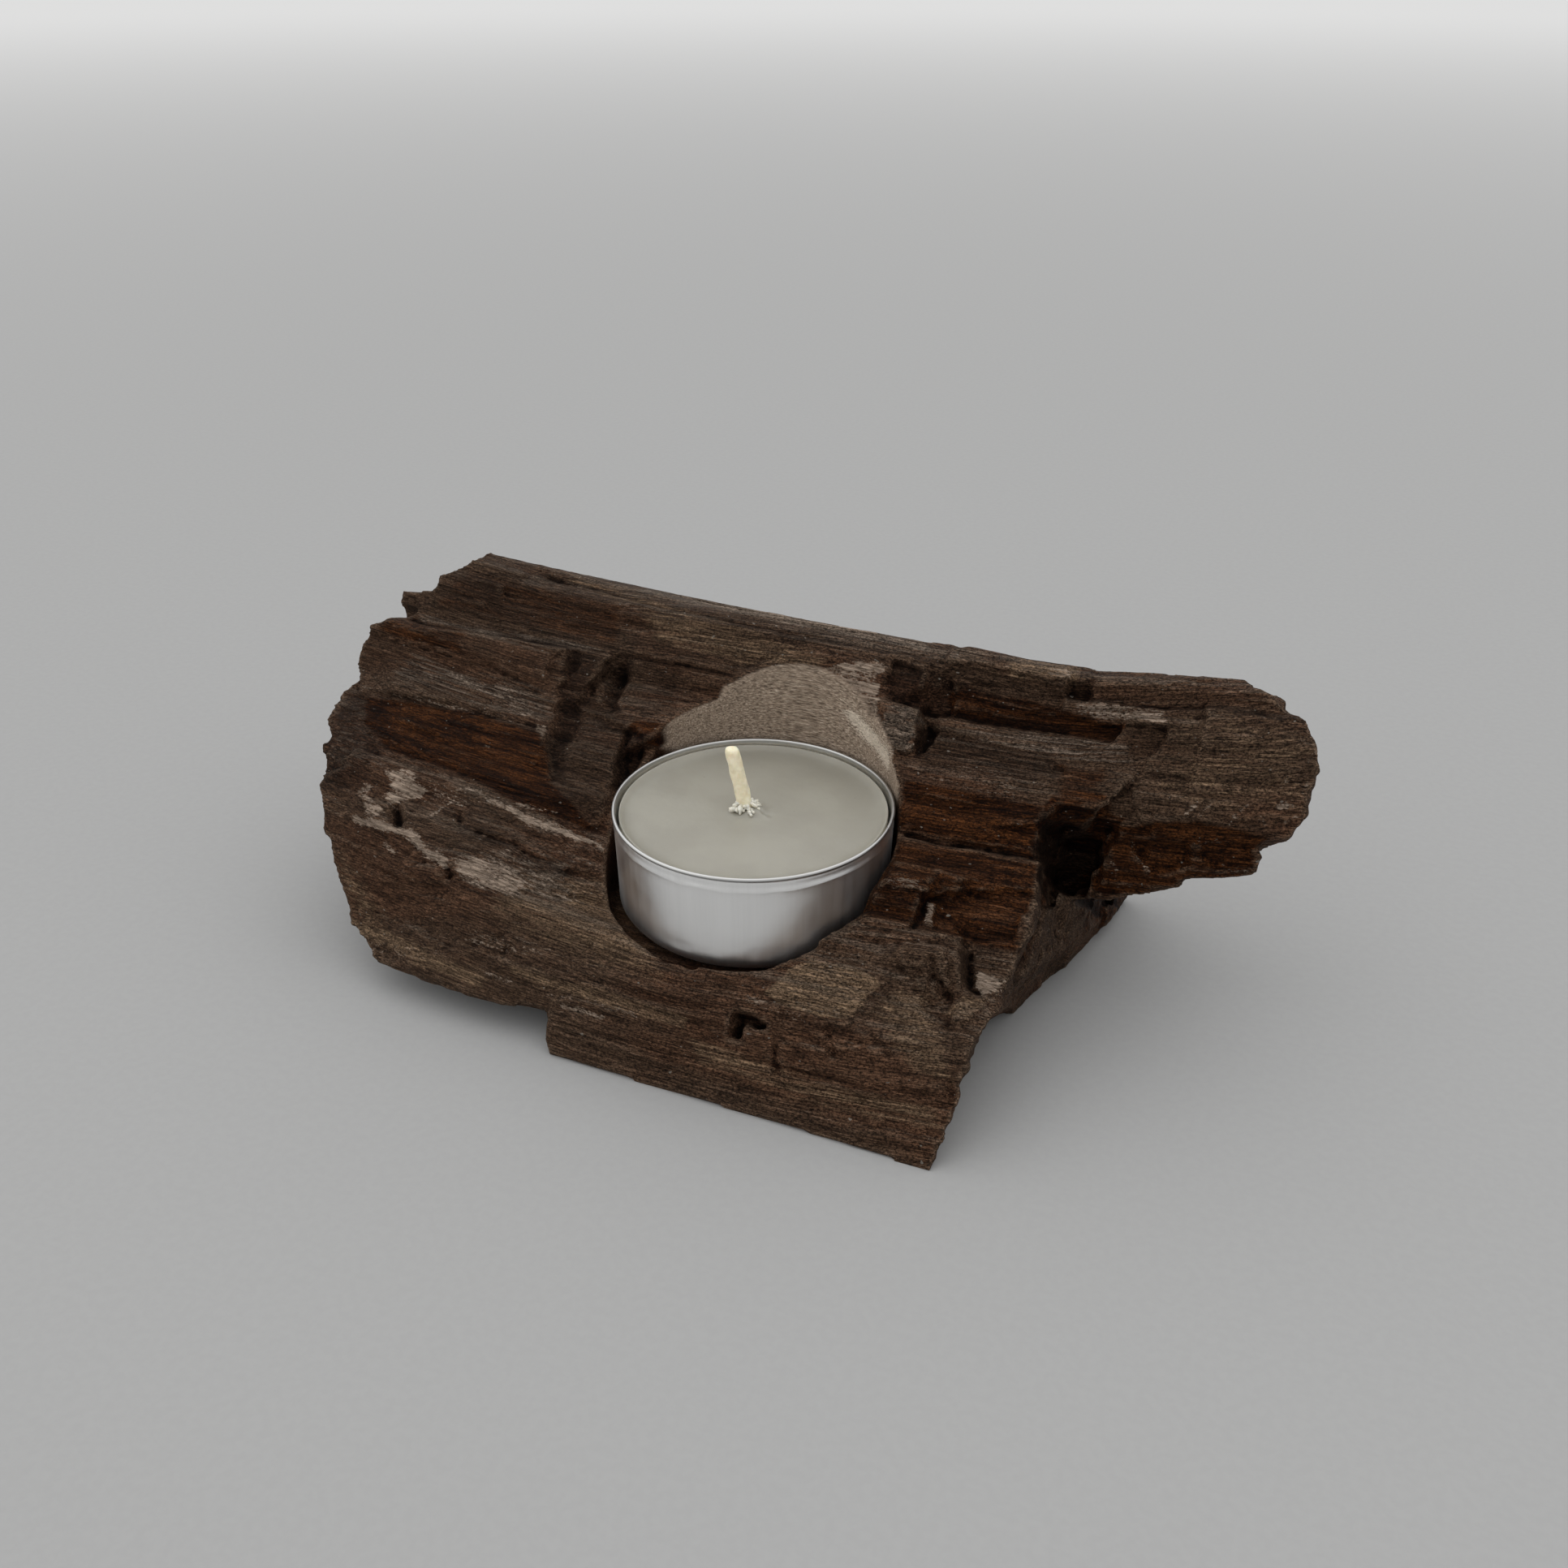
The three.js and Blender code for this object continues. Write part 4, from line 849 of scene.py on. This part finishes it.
def wood_material():
    g = Graph("weathered_wood")
    grain = g.attribute("grain", "Vector")
    streaks = g.noise(g.scaled(grain, (0.03, 0.8, 0.8)), 1.0, 5, 0.6)
    patches = g.noise(g.scaled(grain, (0.03, 0.1, 0.1)), 1.0, 3, 0.5)
    fine = g.noise(g.scaled(grain, (0.10, 3.4, 3.4)), 1.0, 5, 0.68)
    fibres = g.noise(g.scaled(grain, (0.05, 1.9, 1.9)), 1.0, 4, 0.6)
    grit = g.noise(g.scaled(grain, (1.8, 3.6, 3.6)), 1.0, 4, 0.75)
    pores = g.noise(g.scaled(grain, (0.9, 6.5, 6.5)), 1.0, 1, 0.5)
    hairs = g.noise(g.scaled(grain, (0.16, 6.0, 6.0)), 1.0, 3, 0.6)
    speckle = g.noise(g.scaled(grain, (2.6, 4.0, 4.0)), 1.0, 3, 0.8)
    lines = g.spread(g.math("ABSOLUTE", g.math("SUBTRACT", fibres, 0.5)), 0.0, 0.03, 1.0, 0.0)
    tone = g.math("ADD", g.math("MULTIPLY", streaks, 0.38), g.math("MULTIPLY", fine, 0.42))
    tone = g.math("ADD", tone, g.math("MULTIPLY", grit, 0.2))
    base = g.ramp(tone, [(0.32, (0.022, 0.012, 0.0072)), (0.5, (0.064, 0.038, 0.0235)), (0.66, (0.13, 0.083, 0.055))])
    base = g.mix(g.spread(patches, 0.42, 0.62, 0.0, 0.5), base, g.mix(1.0, base, (1.15, 0.82, 0.66), "MULTIPLY"))

    weave = g.spread(g.math("ADD", g.math("MULTIPLY", fine, 0.5), g.math("MULTIPLY", streaks, 0.5)), 0.4, 0.61)

    def layer(base, name, colour_low, colour_high, breakup, spread, low, high, mixer=None):
        mask = g.attribute(name)
        amount = g.math("ADD", mask, g.math("MULTIPLY", g.math("SUBTRACT", breakup, 0.5), spread))
        amount = g.math("MULTIPLY", g.spread(amount, low, high), g.spread(mask, 0.0, 0.2))
        return g.mix(amount, base, g.mix(mixer or g.spread(fine, 0.35, 0.65), colour_low, colour_high))

    base = layer(base, "red", (0.0125, 0.0035, 0.0009), (0.072, 0.0255, 0.0078), streaks, 1.2, 0.1, 0.8, weave)
    base = layer(base, "tan", (0.085, 0.054, 0.033), (0.21, 0.139, 0.085), fibres, 1.6, 0.1, 0.9)
    # Greyish weathering, partly painted sheen on lit tops.
    base = layer(base, "weathering_and_sheen", (0.052, 0.037, 0.027), (0.15, 0.113, 0.086), fibres, 3.0, 0.3, 1.0)
    # Painted sheen: faces that point up are mixed towards a light greyish brown, as if they caught the light.
    up = g.node("ShaderNodeSeparateXYZ")
    g.put(up.inputs[0], g.node("ShaderNodeNewGeometry").outputs["Normal"])
    top_sheen_amount = g.math("MULTIPLY", g.spread(up.outputs[2], 0.72, 1.0), g.spread(streaks, 0.4, 0.62))
    top_sheen_amount = g.math("MULTIPLY", top_sheen_amount, g.math("SUBTRACT", 1.0, g.attribute("red")))
    base = g.mix(g.math("MULTIPLY", top_sheen_amount, 0.55), base, (0.12, 0.094, 0.072))
    base = g.mix(g.math("MULTIPLY", lines, 0.4), base, g.mix(1.0, base, (0.3, 0.25, 0.22), "MULTIPLY"))
    base = g.mix(g.spread(pores, 0.62, 0.7, 0.0, 0.6), base, g.mix(1.0, base, (0.3, 0.25, 0.22), "MULTIPLY"))
    hollow = g.attribute("hollow_near")
    wide = g.attribute("hollow_wide")
    # Painted shade: hollows are darkened by how hollow they are, and convex edges are mixed towards a lighter brown.
    base = g.mix(g.spread(hollow, 0.01, 0.2), base, g.mix(1.0, base, (0.2, 0.16, 0.14), "MULTIPLY"))
    base = g.mix(g.spread(wide, 0.2, 1.6), base, g.mix(1.0, base, (0.3, 0.22, 0.17), "MULTIPLY"))
    base = g.mix(g.spread(hollow, -0.02, -0.2, 0.0, 0.4), base, (0.16, 0.11, 0.075))
    place = g.node("ShaderNodeSeparateXYZ")
    g.put(place.inputs[0], grain)
    dim = g.spread(place.outputs[0], -40.0, 10.0, 0.42, 0.12)
    bright = g.spread(place.outputs[0], -40.0, 10.0, 1.6, 2.0)
    crisp = g.math("MULTIPLY", g.spread(hairs, 0.34, 0.66, 0.52, 1.5), g.spread(speckle, 0.32, 0.68, dim, bright))
    shade = g.node("ShaderNodeCombineColor")
    for channel in shade.inputs:
        g.put(channel, crisp)
    base = g.mix(1.0, base, shade.outputs[0], "MULTIPLY")
    # Painted shade: shadowed recesses, cracks, broken ends and the hole are darkened.
    broken = g.math("ADD", g.math("MULTIPLY", fine, 0.5), g.math("MULTIPLY", grit, 0.5))
    dark = g.math("MULTIPLY", g.attribute("dark"), g.spread(broken, 0.48, 0.66, 0.98, 0.6), clamp=True)
    base = g.mix(dark, base, g.mix(1.0, base, (0.16, 0.11, 0.085), "MULTIPLY"))
    chalk = g.math("ADD", g.math("MULTIPLY", grit, 0.6), g.math("MULTIPLY", fibres, 0.4))
    base = layer(base, "dust", (0.15, 0.112, 0.083), (0.45, 0.35, 0.272), chalk, 4.5, 0.5, 1.1)
    specks = g.noise(g.scaled(grain, (1.1, 1.5, 1.5)), 1.0, 1, 0.5)
    base = g.mix(g.spread(specks, 0.76, 0.79, 0.0, 0.6), base, (0.3, 0.27, 0.23))

    flecks = g.noise(g.scaled(grain, (0.9, 5.5, 5.5)), 1.0, 3, 0.6)
    cut = g.ramp(flecks, [(0.34, (0.17, 0.126, 0.094)), (0.5, (0.42, 0.322, 0.242)), (0.66, (0.56, 0.445, 0.345))])
    torn = g.math("ADD", g.attribute("pale"), g.math("MULTIPLY", g.math("SUBTRACT", flecks, 0.5), 2.8))
    cut = g.mix(g.spread(torn, 0.15, 0.95, 0.0, 0.9), cut, (0.88, 0.76, 0.62))
    # Painted shade: the bore wall is darkened, as the gap round the cup lies in shadow.
    base = g.mix(g.attribute("bore"), base, g.mix(1.0, base, (0.5, 0.42, 0.38), "MULTIPLY"))
    base = g.mix(g.attribute("fresh"), base, cut)
    height = g.math("ADD", g.math("MULTIPLY", fine, 0.6), g.math("MULTIPLY", streaks, 0.4))
    height = g.math("ADD", height, g.math("MULTIPLY", grit, 0.3))
    height = g.math("SUBTRACT", height, g.math("MULTIPLY", lines, 0.15))
    height = g.math("ADD", height, g.math("MULTIPLY", g.math("ADD", hairs, speckle), 0.22))
    rough = g.spread(fine, 0.3, 0.7, 0.5, 0.72)
    rough = g.mix(g.attribute("dust"), rough, (0.85, 0.85, 0.85))
    normal = g.bump(height, 0.0008, 1.0)
    return g.set(Base_Color=base, Roughness=rough, Specular_IOR_Level=0.06, Normal=normal)


# ---- The tealight ----------------------------------------------------------------------------

def lathe(name, profile, segments, shape=None):
    """Turns a closed [radius, height] profile in mm about the cup's axis."""
    angles = np.arange(segments) / segments * 2 * math.pi
    profile = np.array(profile, float)
    rings = []
    for r, z in profile:
        ring = np.stack([np.full(segments, r), angles, np.full(segments, z)], 1)
        rings.append(ring)
    rings = np.array(rings)
    if shape:
        rings = shape(rings)
    x = cup_axis[0] + rings[..., 0] * np.cos(rings[..., 1])
    y = cup_axis[1] + rings[..., 0] * np.sin(rings[..., 1])
    verts = np.stack([x, y, rings[..., 2]], -1).reshape(-1, 3) * MM
    faces = []
    rows = len(profile)
    on_axis = profile[:, 0] < 1e-6
    for i in range(rows - 1):
        for j in range(segments):
            k = (j + 1) % segments
            a, b, c, d = i * segments + j, i * segments + k, (i + 1) * segments + k, (i + 1) * segments + j
            faces.append((a, b, c, d))
    mesh = bpy.data.meshes.new(name)
    mesh.from_pydata(verts.tolist(), [], faces)
    bm = bmesh.new()
    bm.from_mesh(mesh)
    bmesh.ops.remove_doubles(bm, verts=bm.verts, dist=2e-6)
    bmesh.ops.dissolve_degenerate(bm, edges=bm.edges, dist=1e-6)
    bmesh.ops.recalc_face_normals(bm, faces=bm.faces)
    bm.to_mesh(mesh)
    bm.free()
    for polygon in mesh.polygons:
        polygon.use_smooth = True
    return add_object(name, mesh)


def arc(cx, cz, r, start, stop, count):
    return [(cx + r * math.cos(math.radians(a)), cz + r * math.sin(math.radians(a))) for a in np.linspace(start, stop, count)]


def cup_object():
    z0, z1 = cup_low[2], cup_high[2]
    foot, top, wall, corner = 18.7, 19.0, 0.3, 2.4
    bead = (rim_radius - 0.25, z1 - 0.25)
    outer = [(0, z0)]
    outer += [(r, z0) for r in np.linspace(2, foot - corner, 8)][:-1]
    outer += arc(foot - corner, z0 + corner, corner, -90, 0, 10)
    outer += [(foot + (top - foot) * t - 0.02, z0 + corner + (z1 - z0 - corner - 2.6) * t) for t in np.linspace(0.05, 1, 14)]
    outer += [(top + 0.02, z1 - 2.2), (top + 0.05, z1 - 2.0), (top - 0.05, z1 - 1.7), (top - 0.05, z1 - 1.1), (top - 0.05, z1 - 0.75)]
    outer += arc(bead[0], bead[1], 0.25, -100, 180, 14)
    inner = [(top - wall - 0.02, z1 - 0.8), (top - wall - 0.02, z1 - 1.6)]
    inner += [(foot - wall + (top - foot) * t, z0 + corner + (z1 - z0 - corner - 2.4) * t) for t in np.linspace(1, 0, 10)]
    inner += arc(foot - corner, z0 + corner, corner - wall, 0, -90, 8)
    inner += [(r, z0 + wall) for r in np.linspace(foot - corner, 0, 6)][1:]

    def dents(rings):
        r, a, z = rings[..., 0], rings[..., 1], rings[..., 2]
        h = (z - z0) / (z1 - z0)
        big = r > 5
        ca, sa = np.cos(a), np.sin(a)
        wobble = 0.05 * smooth_noise(201, ca * 2.2, sa * 2.2, h * 1.5)
        low = np.exp(-((h - 0.12) / 0.12) ** 2)
        wobble += 0.10 * low * smooth_noise(202, ca * 7, sa * 7, h * 9)
        rings = rings.copy()
        rings[..., 0] = np.where(big, r + wobble * (h < 0.93) , r)
        ring_step = np.exp(-((z - (z1 - 2.05)) / 0.3) ** 2)
        rings[..., 2] += np.where(big, 0.18 * ring_step * smooth_noise(203, ca * 9, sa * 9, h * 0), 0)
        return rings

    return lathe("cup_foil", outer + inner, 256, dents)


def metal_material():
    g = Graph("drawn_aluminium")
    position = g.node("ShaderNodeTexCoord").outputs["Object"]
    centre = g.node("ShaderNodeVectorMath", operation="SUBTRACT")
    g.put(centre.inputs[0], position)
    centre.inputs[1].default_value = (cup_axis[0] * MM, cup_axis[1] * MM, 0)
    around = g.scaled(centre.outputs[0], (1000, 1000, 12))
    lines = g.noise(around, 1.6, 4, 0.7)
    smears = g.noise(g.scaled(centre.outputs[0], (1000, 1000, 1000)), 0.18, 3, 0.55)
    rough = g.spread(g.math("ADD", g.math("MULTIPLY", lines, 0.4), g.math("MULTIPLY", smears, 0.6)), 0.3, 0.7, 0.29, 0.38)
    colour = g.mix(g.spread(lines, 0.3, 0.7), (0.95, 0.95, 0.94), (0.985, 0.985, 0.975))
    height = g.node("ShaderNodeSeparateXYZ")
    g.put(height.inputs[0], position)
    # Painted shade: the rolled rim is tinted darker to tone down its highlight.
    rim = g.spread(height.outputs[2], (cup_high[2] - 0.7) * MM, (cup_high[2] - 0.35) * MM)
    colour = g.mix(rim, colour, (0.5, 0.5, 0.49))
    height = g.math("ADD", g.math("MULTIPLY", lines, 0.05), g.math("MULTIPLY", smears, 1.0))
    return g.set(Base_Color=colour, Metallic=1.0, Roughness=rough, Normal=g.bump(height, 0.00012, 0.5))


def wax_object():
    z1 = wax_high[2]
    side = (wax_high[0] - wax_low[0]) / 2
    floor = wax_low[2]
    profile = [(0, floor), (side - 2.4, floor), (side - 0.7, floor + 0.7), (side, floor + 2.4), (side, z1 + 0.6)]
    profile += [(side - 0.05, z1 + 0.75), (side - 0.2, z1 + 0.68), (side - 0.6, z1 + 0.34), (side - 1.3, z1 + 0.1)]
    profile += [(r, z1 + 0.02) for r in np.linspace(side - 2.2, 2.6, 24)]
    profile += [(1.9, z1 + 0.1), (1.4, z1 + 0.28), (1.05, z1 + 0.55), (0.6, z1 + 0.6), (0, z1 + 0.6)]

    def ripple(rings):
        rings = rings.copy()
        r, a, z = rings[..., 0], rings[..., 1], rings[..., 2]
        x, y = r * np.cos(a), r * np.sin(a)
        top = z > z1 - 0.5
        rings[..., 2] += np.where(top, 0.06 * smooth_noise(211, x / 7, y / 7, 0 * x) + 0.03 * smooth_noise(212, x / 2.5, y / 2.5, 0 * x), 0)
        near = np.exp(-((r - 1.5) / 0.9) ** 2)
        rings[..., 2] += np.where(top, near * 0.16 * smooth_noise(213, x * 1.6, y * 1.6, 0 * x), 0)
        return rings

    return lathe("wax_fill", profile, 160, ripple)


def wax_material():
    g = Graph("paraffin_wax")
    position = g.scaled(g.node("ShaderNodeTexCoord").outputs["Object"], (1000, 1000, 1000))
    cloud = g.noise(position, 0.12, 3, 0.5)
    colour = g.mix(g.spread(cloud, 0.35, 0.65), (0.262, 0.248, 0.207), (0.292, 0.278, 0.233))
    specks = g.noise(position, 1.15, 1, 0.5)
    colour = g.mix(g.spread(specks, 0.8, 0.83), colour, (0.05, 0.045, 0.04))
    height = g.noise(position, 0.9, 3, 0.6)
    return g.set(
        Base_Color=colour, Roughness=0.42, Subsurface_Weight=0.35, Subsurface_Radius=(0.004, 0.0035, 0.0028),
        Subsurface_Scale=1.0, Normal=g.bump(height, 0.0001, 0.3))


def wick_object():
    """A straight waxed cord leaning to the left."""
    base = np.array([cup_axis[0] - 1.4, cup_axis[1] + 0.3, wax_high[2]])
    tip = np.array([base[0] - 2.1, base[1] + 0.9, wick_high[2] - 0.1])
    rings, segments = 60, 28
    verts = []
    start = base - (tip - base) * 0.3
    for i in range(rings):
        t = i / (rings - 1)
        centre = start * (1 - t) + tip * t
        centre = centre + np.array([0.12, 0.05, 0]) * math.sin(t * 5.0)
        radius = 1.12 - 0.1 * t
        if t > 0.93:
            radius *= math.sqrt(max(0.0, 1 - ((t - 0.93) / 0.07) ** 2)) * 0.6 + 0.4
        for j in range(segments):
            a = 2 * math.pi * j / segments
            strand = 0.035 * math.cos(3 * a + t * 22) + 0.025 * math.cos(-4 * a + t * 31)
            r = radius * (1 + strand)
            verts.append(centre + (r * math.cos(a), r * math.sin(a) * 0.9, 0))
    faces = [(i * segments + j, i * segments + (j + 1) % segments, (i + 1) * segments + (j + 1) % segments, (i + 1) * segments + j)
             for i in range(rings - 1) for j in range(segments)]
    faces.append(tuple(reversed(range(segments))))
    faces.append(tuple((rings - 1) * segments + j for j in range(segments)))
    mesh = bpy.data.meshes.new("wick_cord")
    mesh.from_pydata((np.array(verts) * MM).tolist(), [], faces)
    for polygon in mesh.polygons:
        polygon.use_smooth = True
    return add_object("wick_cord", mesh)


def crumbs_object():
    """Flakes of wax torn up round the foot of the wick."""
    foot = np.array([cup_axis[0] - 1.3, cup_axis[1] + 0.2, wax_high[2] + 0.3])
    bm = bmesh.new()
    for i in range(44):
        angle, out, size, turn, lift = (float(hash01(600 + k, np.array([i]))[0]) for k in range(5))
        angle = 2 * math.pi * (angle * 0.75 - 0.5)
        reach = 0.75 + 1.15 * out**1.5 * (1.25 if math.cos(angle) > 0 else 1.0)
        place = foot + (reach * math.cos(angle), reach * math.sin(angle), 1.3 * lift * (1 - out) + 0.05)
        made = bmesh.ops.create_icosphere(bm, subdivisions=2, radius=1.0)["verts"]
        spin = Euler((turn * 2.5, lift * 1.2 - 0.6, angle)).to_matrix()
        scale = Vector((0.25 + 0.45 * size, 0.2 + 0.22 * turn, 0.14 + 0.16 * lift))
        for vert in made:
            bump = 1 + 0.3 * math.sin(9 * vert.co.x + 5 * i) * math.cos(8 * vert.co.y + 3 * vert.co.z)
            vert.co = (Vector(place) + spin @ (vert.co * bump * scale)) * MM
    mesh = bpy.data.meshes.new("wax_crumbs")
    bm.to_mesh(mesh)
    bm.free()
    for polygon in mesh.polygons:
        polygon.use_smooth = True
    return add_object("wax_crumbs", mesh)


def wick_material():
    g = Graph("waxed_cotton")
    position = g.scaled(g.node("ShaderNodeTexCoord").outputs["Object"], (1000, 1000, 1000))
    mottle = g.noise(position, 1.4, 4, 0.6)
    colour = g.mix(g.spread(mottle, 0.35, 0.65), (0.76, 0.69, 0.49), (0.86, 0.8, 0.61))
    return g.set(Base_Color=colour, Roughness=0.5, Subsurface_Weight=0.4, Subsurface_Radius=(0.0015, 0.001, 0.0006),
                 Subsurface_Scale=1.0, Normal=g.bump(mottle, 0.0003, 0.5))


def crumb_material():
    g = Graph("torn_wax")
    position = g.scaled(g.node("ShaderNodeTexCoord").outputs["Object"], (1000, 1000, 1000))
    mottle = g.noise(position, 2.2, 3, 0.6)
    colour = g.mix(g.spread(mottle, 0.35, 0.65), (0.62, 0.585, 0.48), (0.8, 0.765, 0.66))
    return g.set(Base_Color=colour, Roughness=0.4, Subsurface_Weight=0.3, Subsurface_Radius=(0.001, 0.0008, 0.0006),
                 Subsurface_Scale=1.0, Normal=g.bump(mottle, 0.0002, 0.5))


def tab_material():
    g = Graph("tinned_tab")
    position = g.scaled(g.node("ShaderNodeTexCoord").outputs["Object"], (1000, 1000, 1000))
    mottle = g.noise(position, 1.0, 3, 0.6)
    return g.set(Base_Color=(0.62, 0.62, 0.6), Metallic=1.0, Roughness=g.spread(mottle, 0.3, 0.7, 0.3, 0.5))


# ---- Build -----------------------------------------------------------------------------------

def dress(ob, material, body, slot, *nodes):
    ob.data.materials.clear()
    ob.data.materials.append(material)
    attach(ob, body)
    if nodes:
        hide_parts(*nodes)
    return ob


wood = wood_mesh()
dress(wood, wood_material(), "holder", "wood", "wood_body")
dress(cup_object(), metal_material(), "cup", "cup_metal", "cup")
dress(wax_object(), wax_material(), "candle", "wax", "wax")
dress(wick_object(), wick_material(), "candle", "wick_cotton", "wick")
dress(crumbs_object(), crumb_material(), "candle", "wax")
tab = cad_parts["wick_tab"]
tab.data.materials.clear()
tab.data.materials.append(tab_material())


# ---- Floor, light and camera -----------------------------------------------------------------

def floor_plane():
    mesh = bpy.data.meshes.new("floor")
    s = 12.0
    mesh.from_pydata([(-s, -s, 0), (s, -s, 0), (s, s, 0), (-s, s, 0)], [], [(0, 1, 2, 3)])
    ob = add_object("floor", mesh)
    g = Graph("pale_paper")
    position = g.node("ShaderNodeTexCoord").outputs["Object"]
    mottle = g.noise(g.scaled(position, (1000, 1000, 1000)), 0.9, 3, 0.6)
    away = g.node("ShaderNodeVectorMath", operation="LENGTH")
    g.put(away.inputs[0], position)
    # Painted shading: the floor is darker near the object and lighter further away.
    shade = g.spread(away.outputs["Value"], 0.15, 2.6, 0.345, 0.6)
    shade = g.math("MULTIPLY", shade, g.spread(mottle, 0.3, 0.7, 0.985, 1.015))
    colour = g.node("ShaderNodeCombineColor")
    for channel, tint in zip(colour.inputs, (1.0, 1.0, 0.995)):
        g.put(channel, g.math("MULTIPLY", shade, tint))
    colour = colour.outputs[0]
    ob.data.materials.append(g.set(Base_Color=colour, Roughness=1.0, Specular_IOR_Level=0.0))


floor_plane()
scene = bpy.context.scene
scene.view_settings.view_transform = "Standard"


def studio_world():
    """Soft light from all round, brighter from above and behind."""
    world = bpy.data.worlds.new("studio")
    scene.world = world
    world.use_nodes = True
    tree = world.node_tree
    back = tree.nodes["Background"]
    coord = tree.nodes.new("ShaderNodeTexCoord")
    dot = tree.nodes.new("ShaderNodeVectorMath")
    dot.operation = "DOT_PRODUCT"
    dot.inputs[1].default_value = (-0.15, 0.35, 0.92)
    tree.links.new(coord.outputs["Generated"], dot.inputs[0])
    spread = tree.nodes.new("ShaderNodeMapRange")
    spread.inputs["From Min"].default_value = 0.0
    spread.inputs["From Max"].default_value = 0.9
    spread.inputs["To Min"].default_value = 0.78
    spread.inputs["To Max"].default_value = 1.12
    tree.links.new(dot.outputs["Value"], spread.inputs["Value"])
    seen = tree.nodes.new("ShaderNodeLightPath")
    mix = tree.nodes.new("ShaderNodeMix")
    mix.inputs["B"].default_value = 0.72
    tree.links.new(seen.outputs["Is Camera Ray"], mix.inputs["Factor"])
    tree.links.new(spread.outputs["Result"], mix.inputs["A"])
    tree.links.new(mix.outputs["Result"], back.inputs["Strength"])
    back.inputs["Color"].default_value = (1, 1, 1, 1)


def soft_sun(name, direction, angle, power):
    data = bpy.data.lights.new(name, "SUN")
    data.energy = power
    data.angle = math.radians(angle)
    ob = add_object(name, data)
    ob.rotation_euler = (-Vector(direction)).to_track_quat("-Z", "Y").to_euler()


studio_world()
soft_sun("key", (-0.35, 0.3, 1.0), 85, 0.62)
soft_sun("fill", (-0.75, -0.65, 0.35), 70, 0.34)

CAMERA_PLACE = (73.22, -169.10, 133.93)
CAMERA_TURN = 22.0
CAMERA_PITCH = 29.205
camera = bpy.data.cameras.new("camera")
camera.lens = 36
camera.sensor_width = 36
camera_ob = add_object("camera", camera)
camera_ob.location = Vector(CAMERA_PLACE) * MM
camera_ob.rotation_euler = Euler((math.radians(90 - CAMERA_PITCH), 0, math.radians(CAMERA_TURN)))
scene.camera = camera_ob
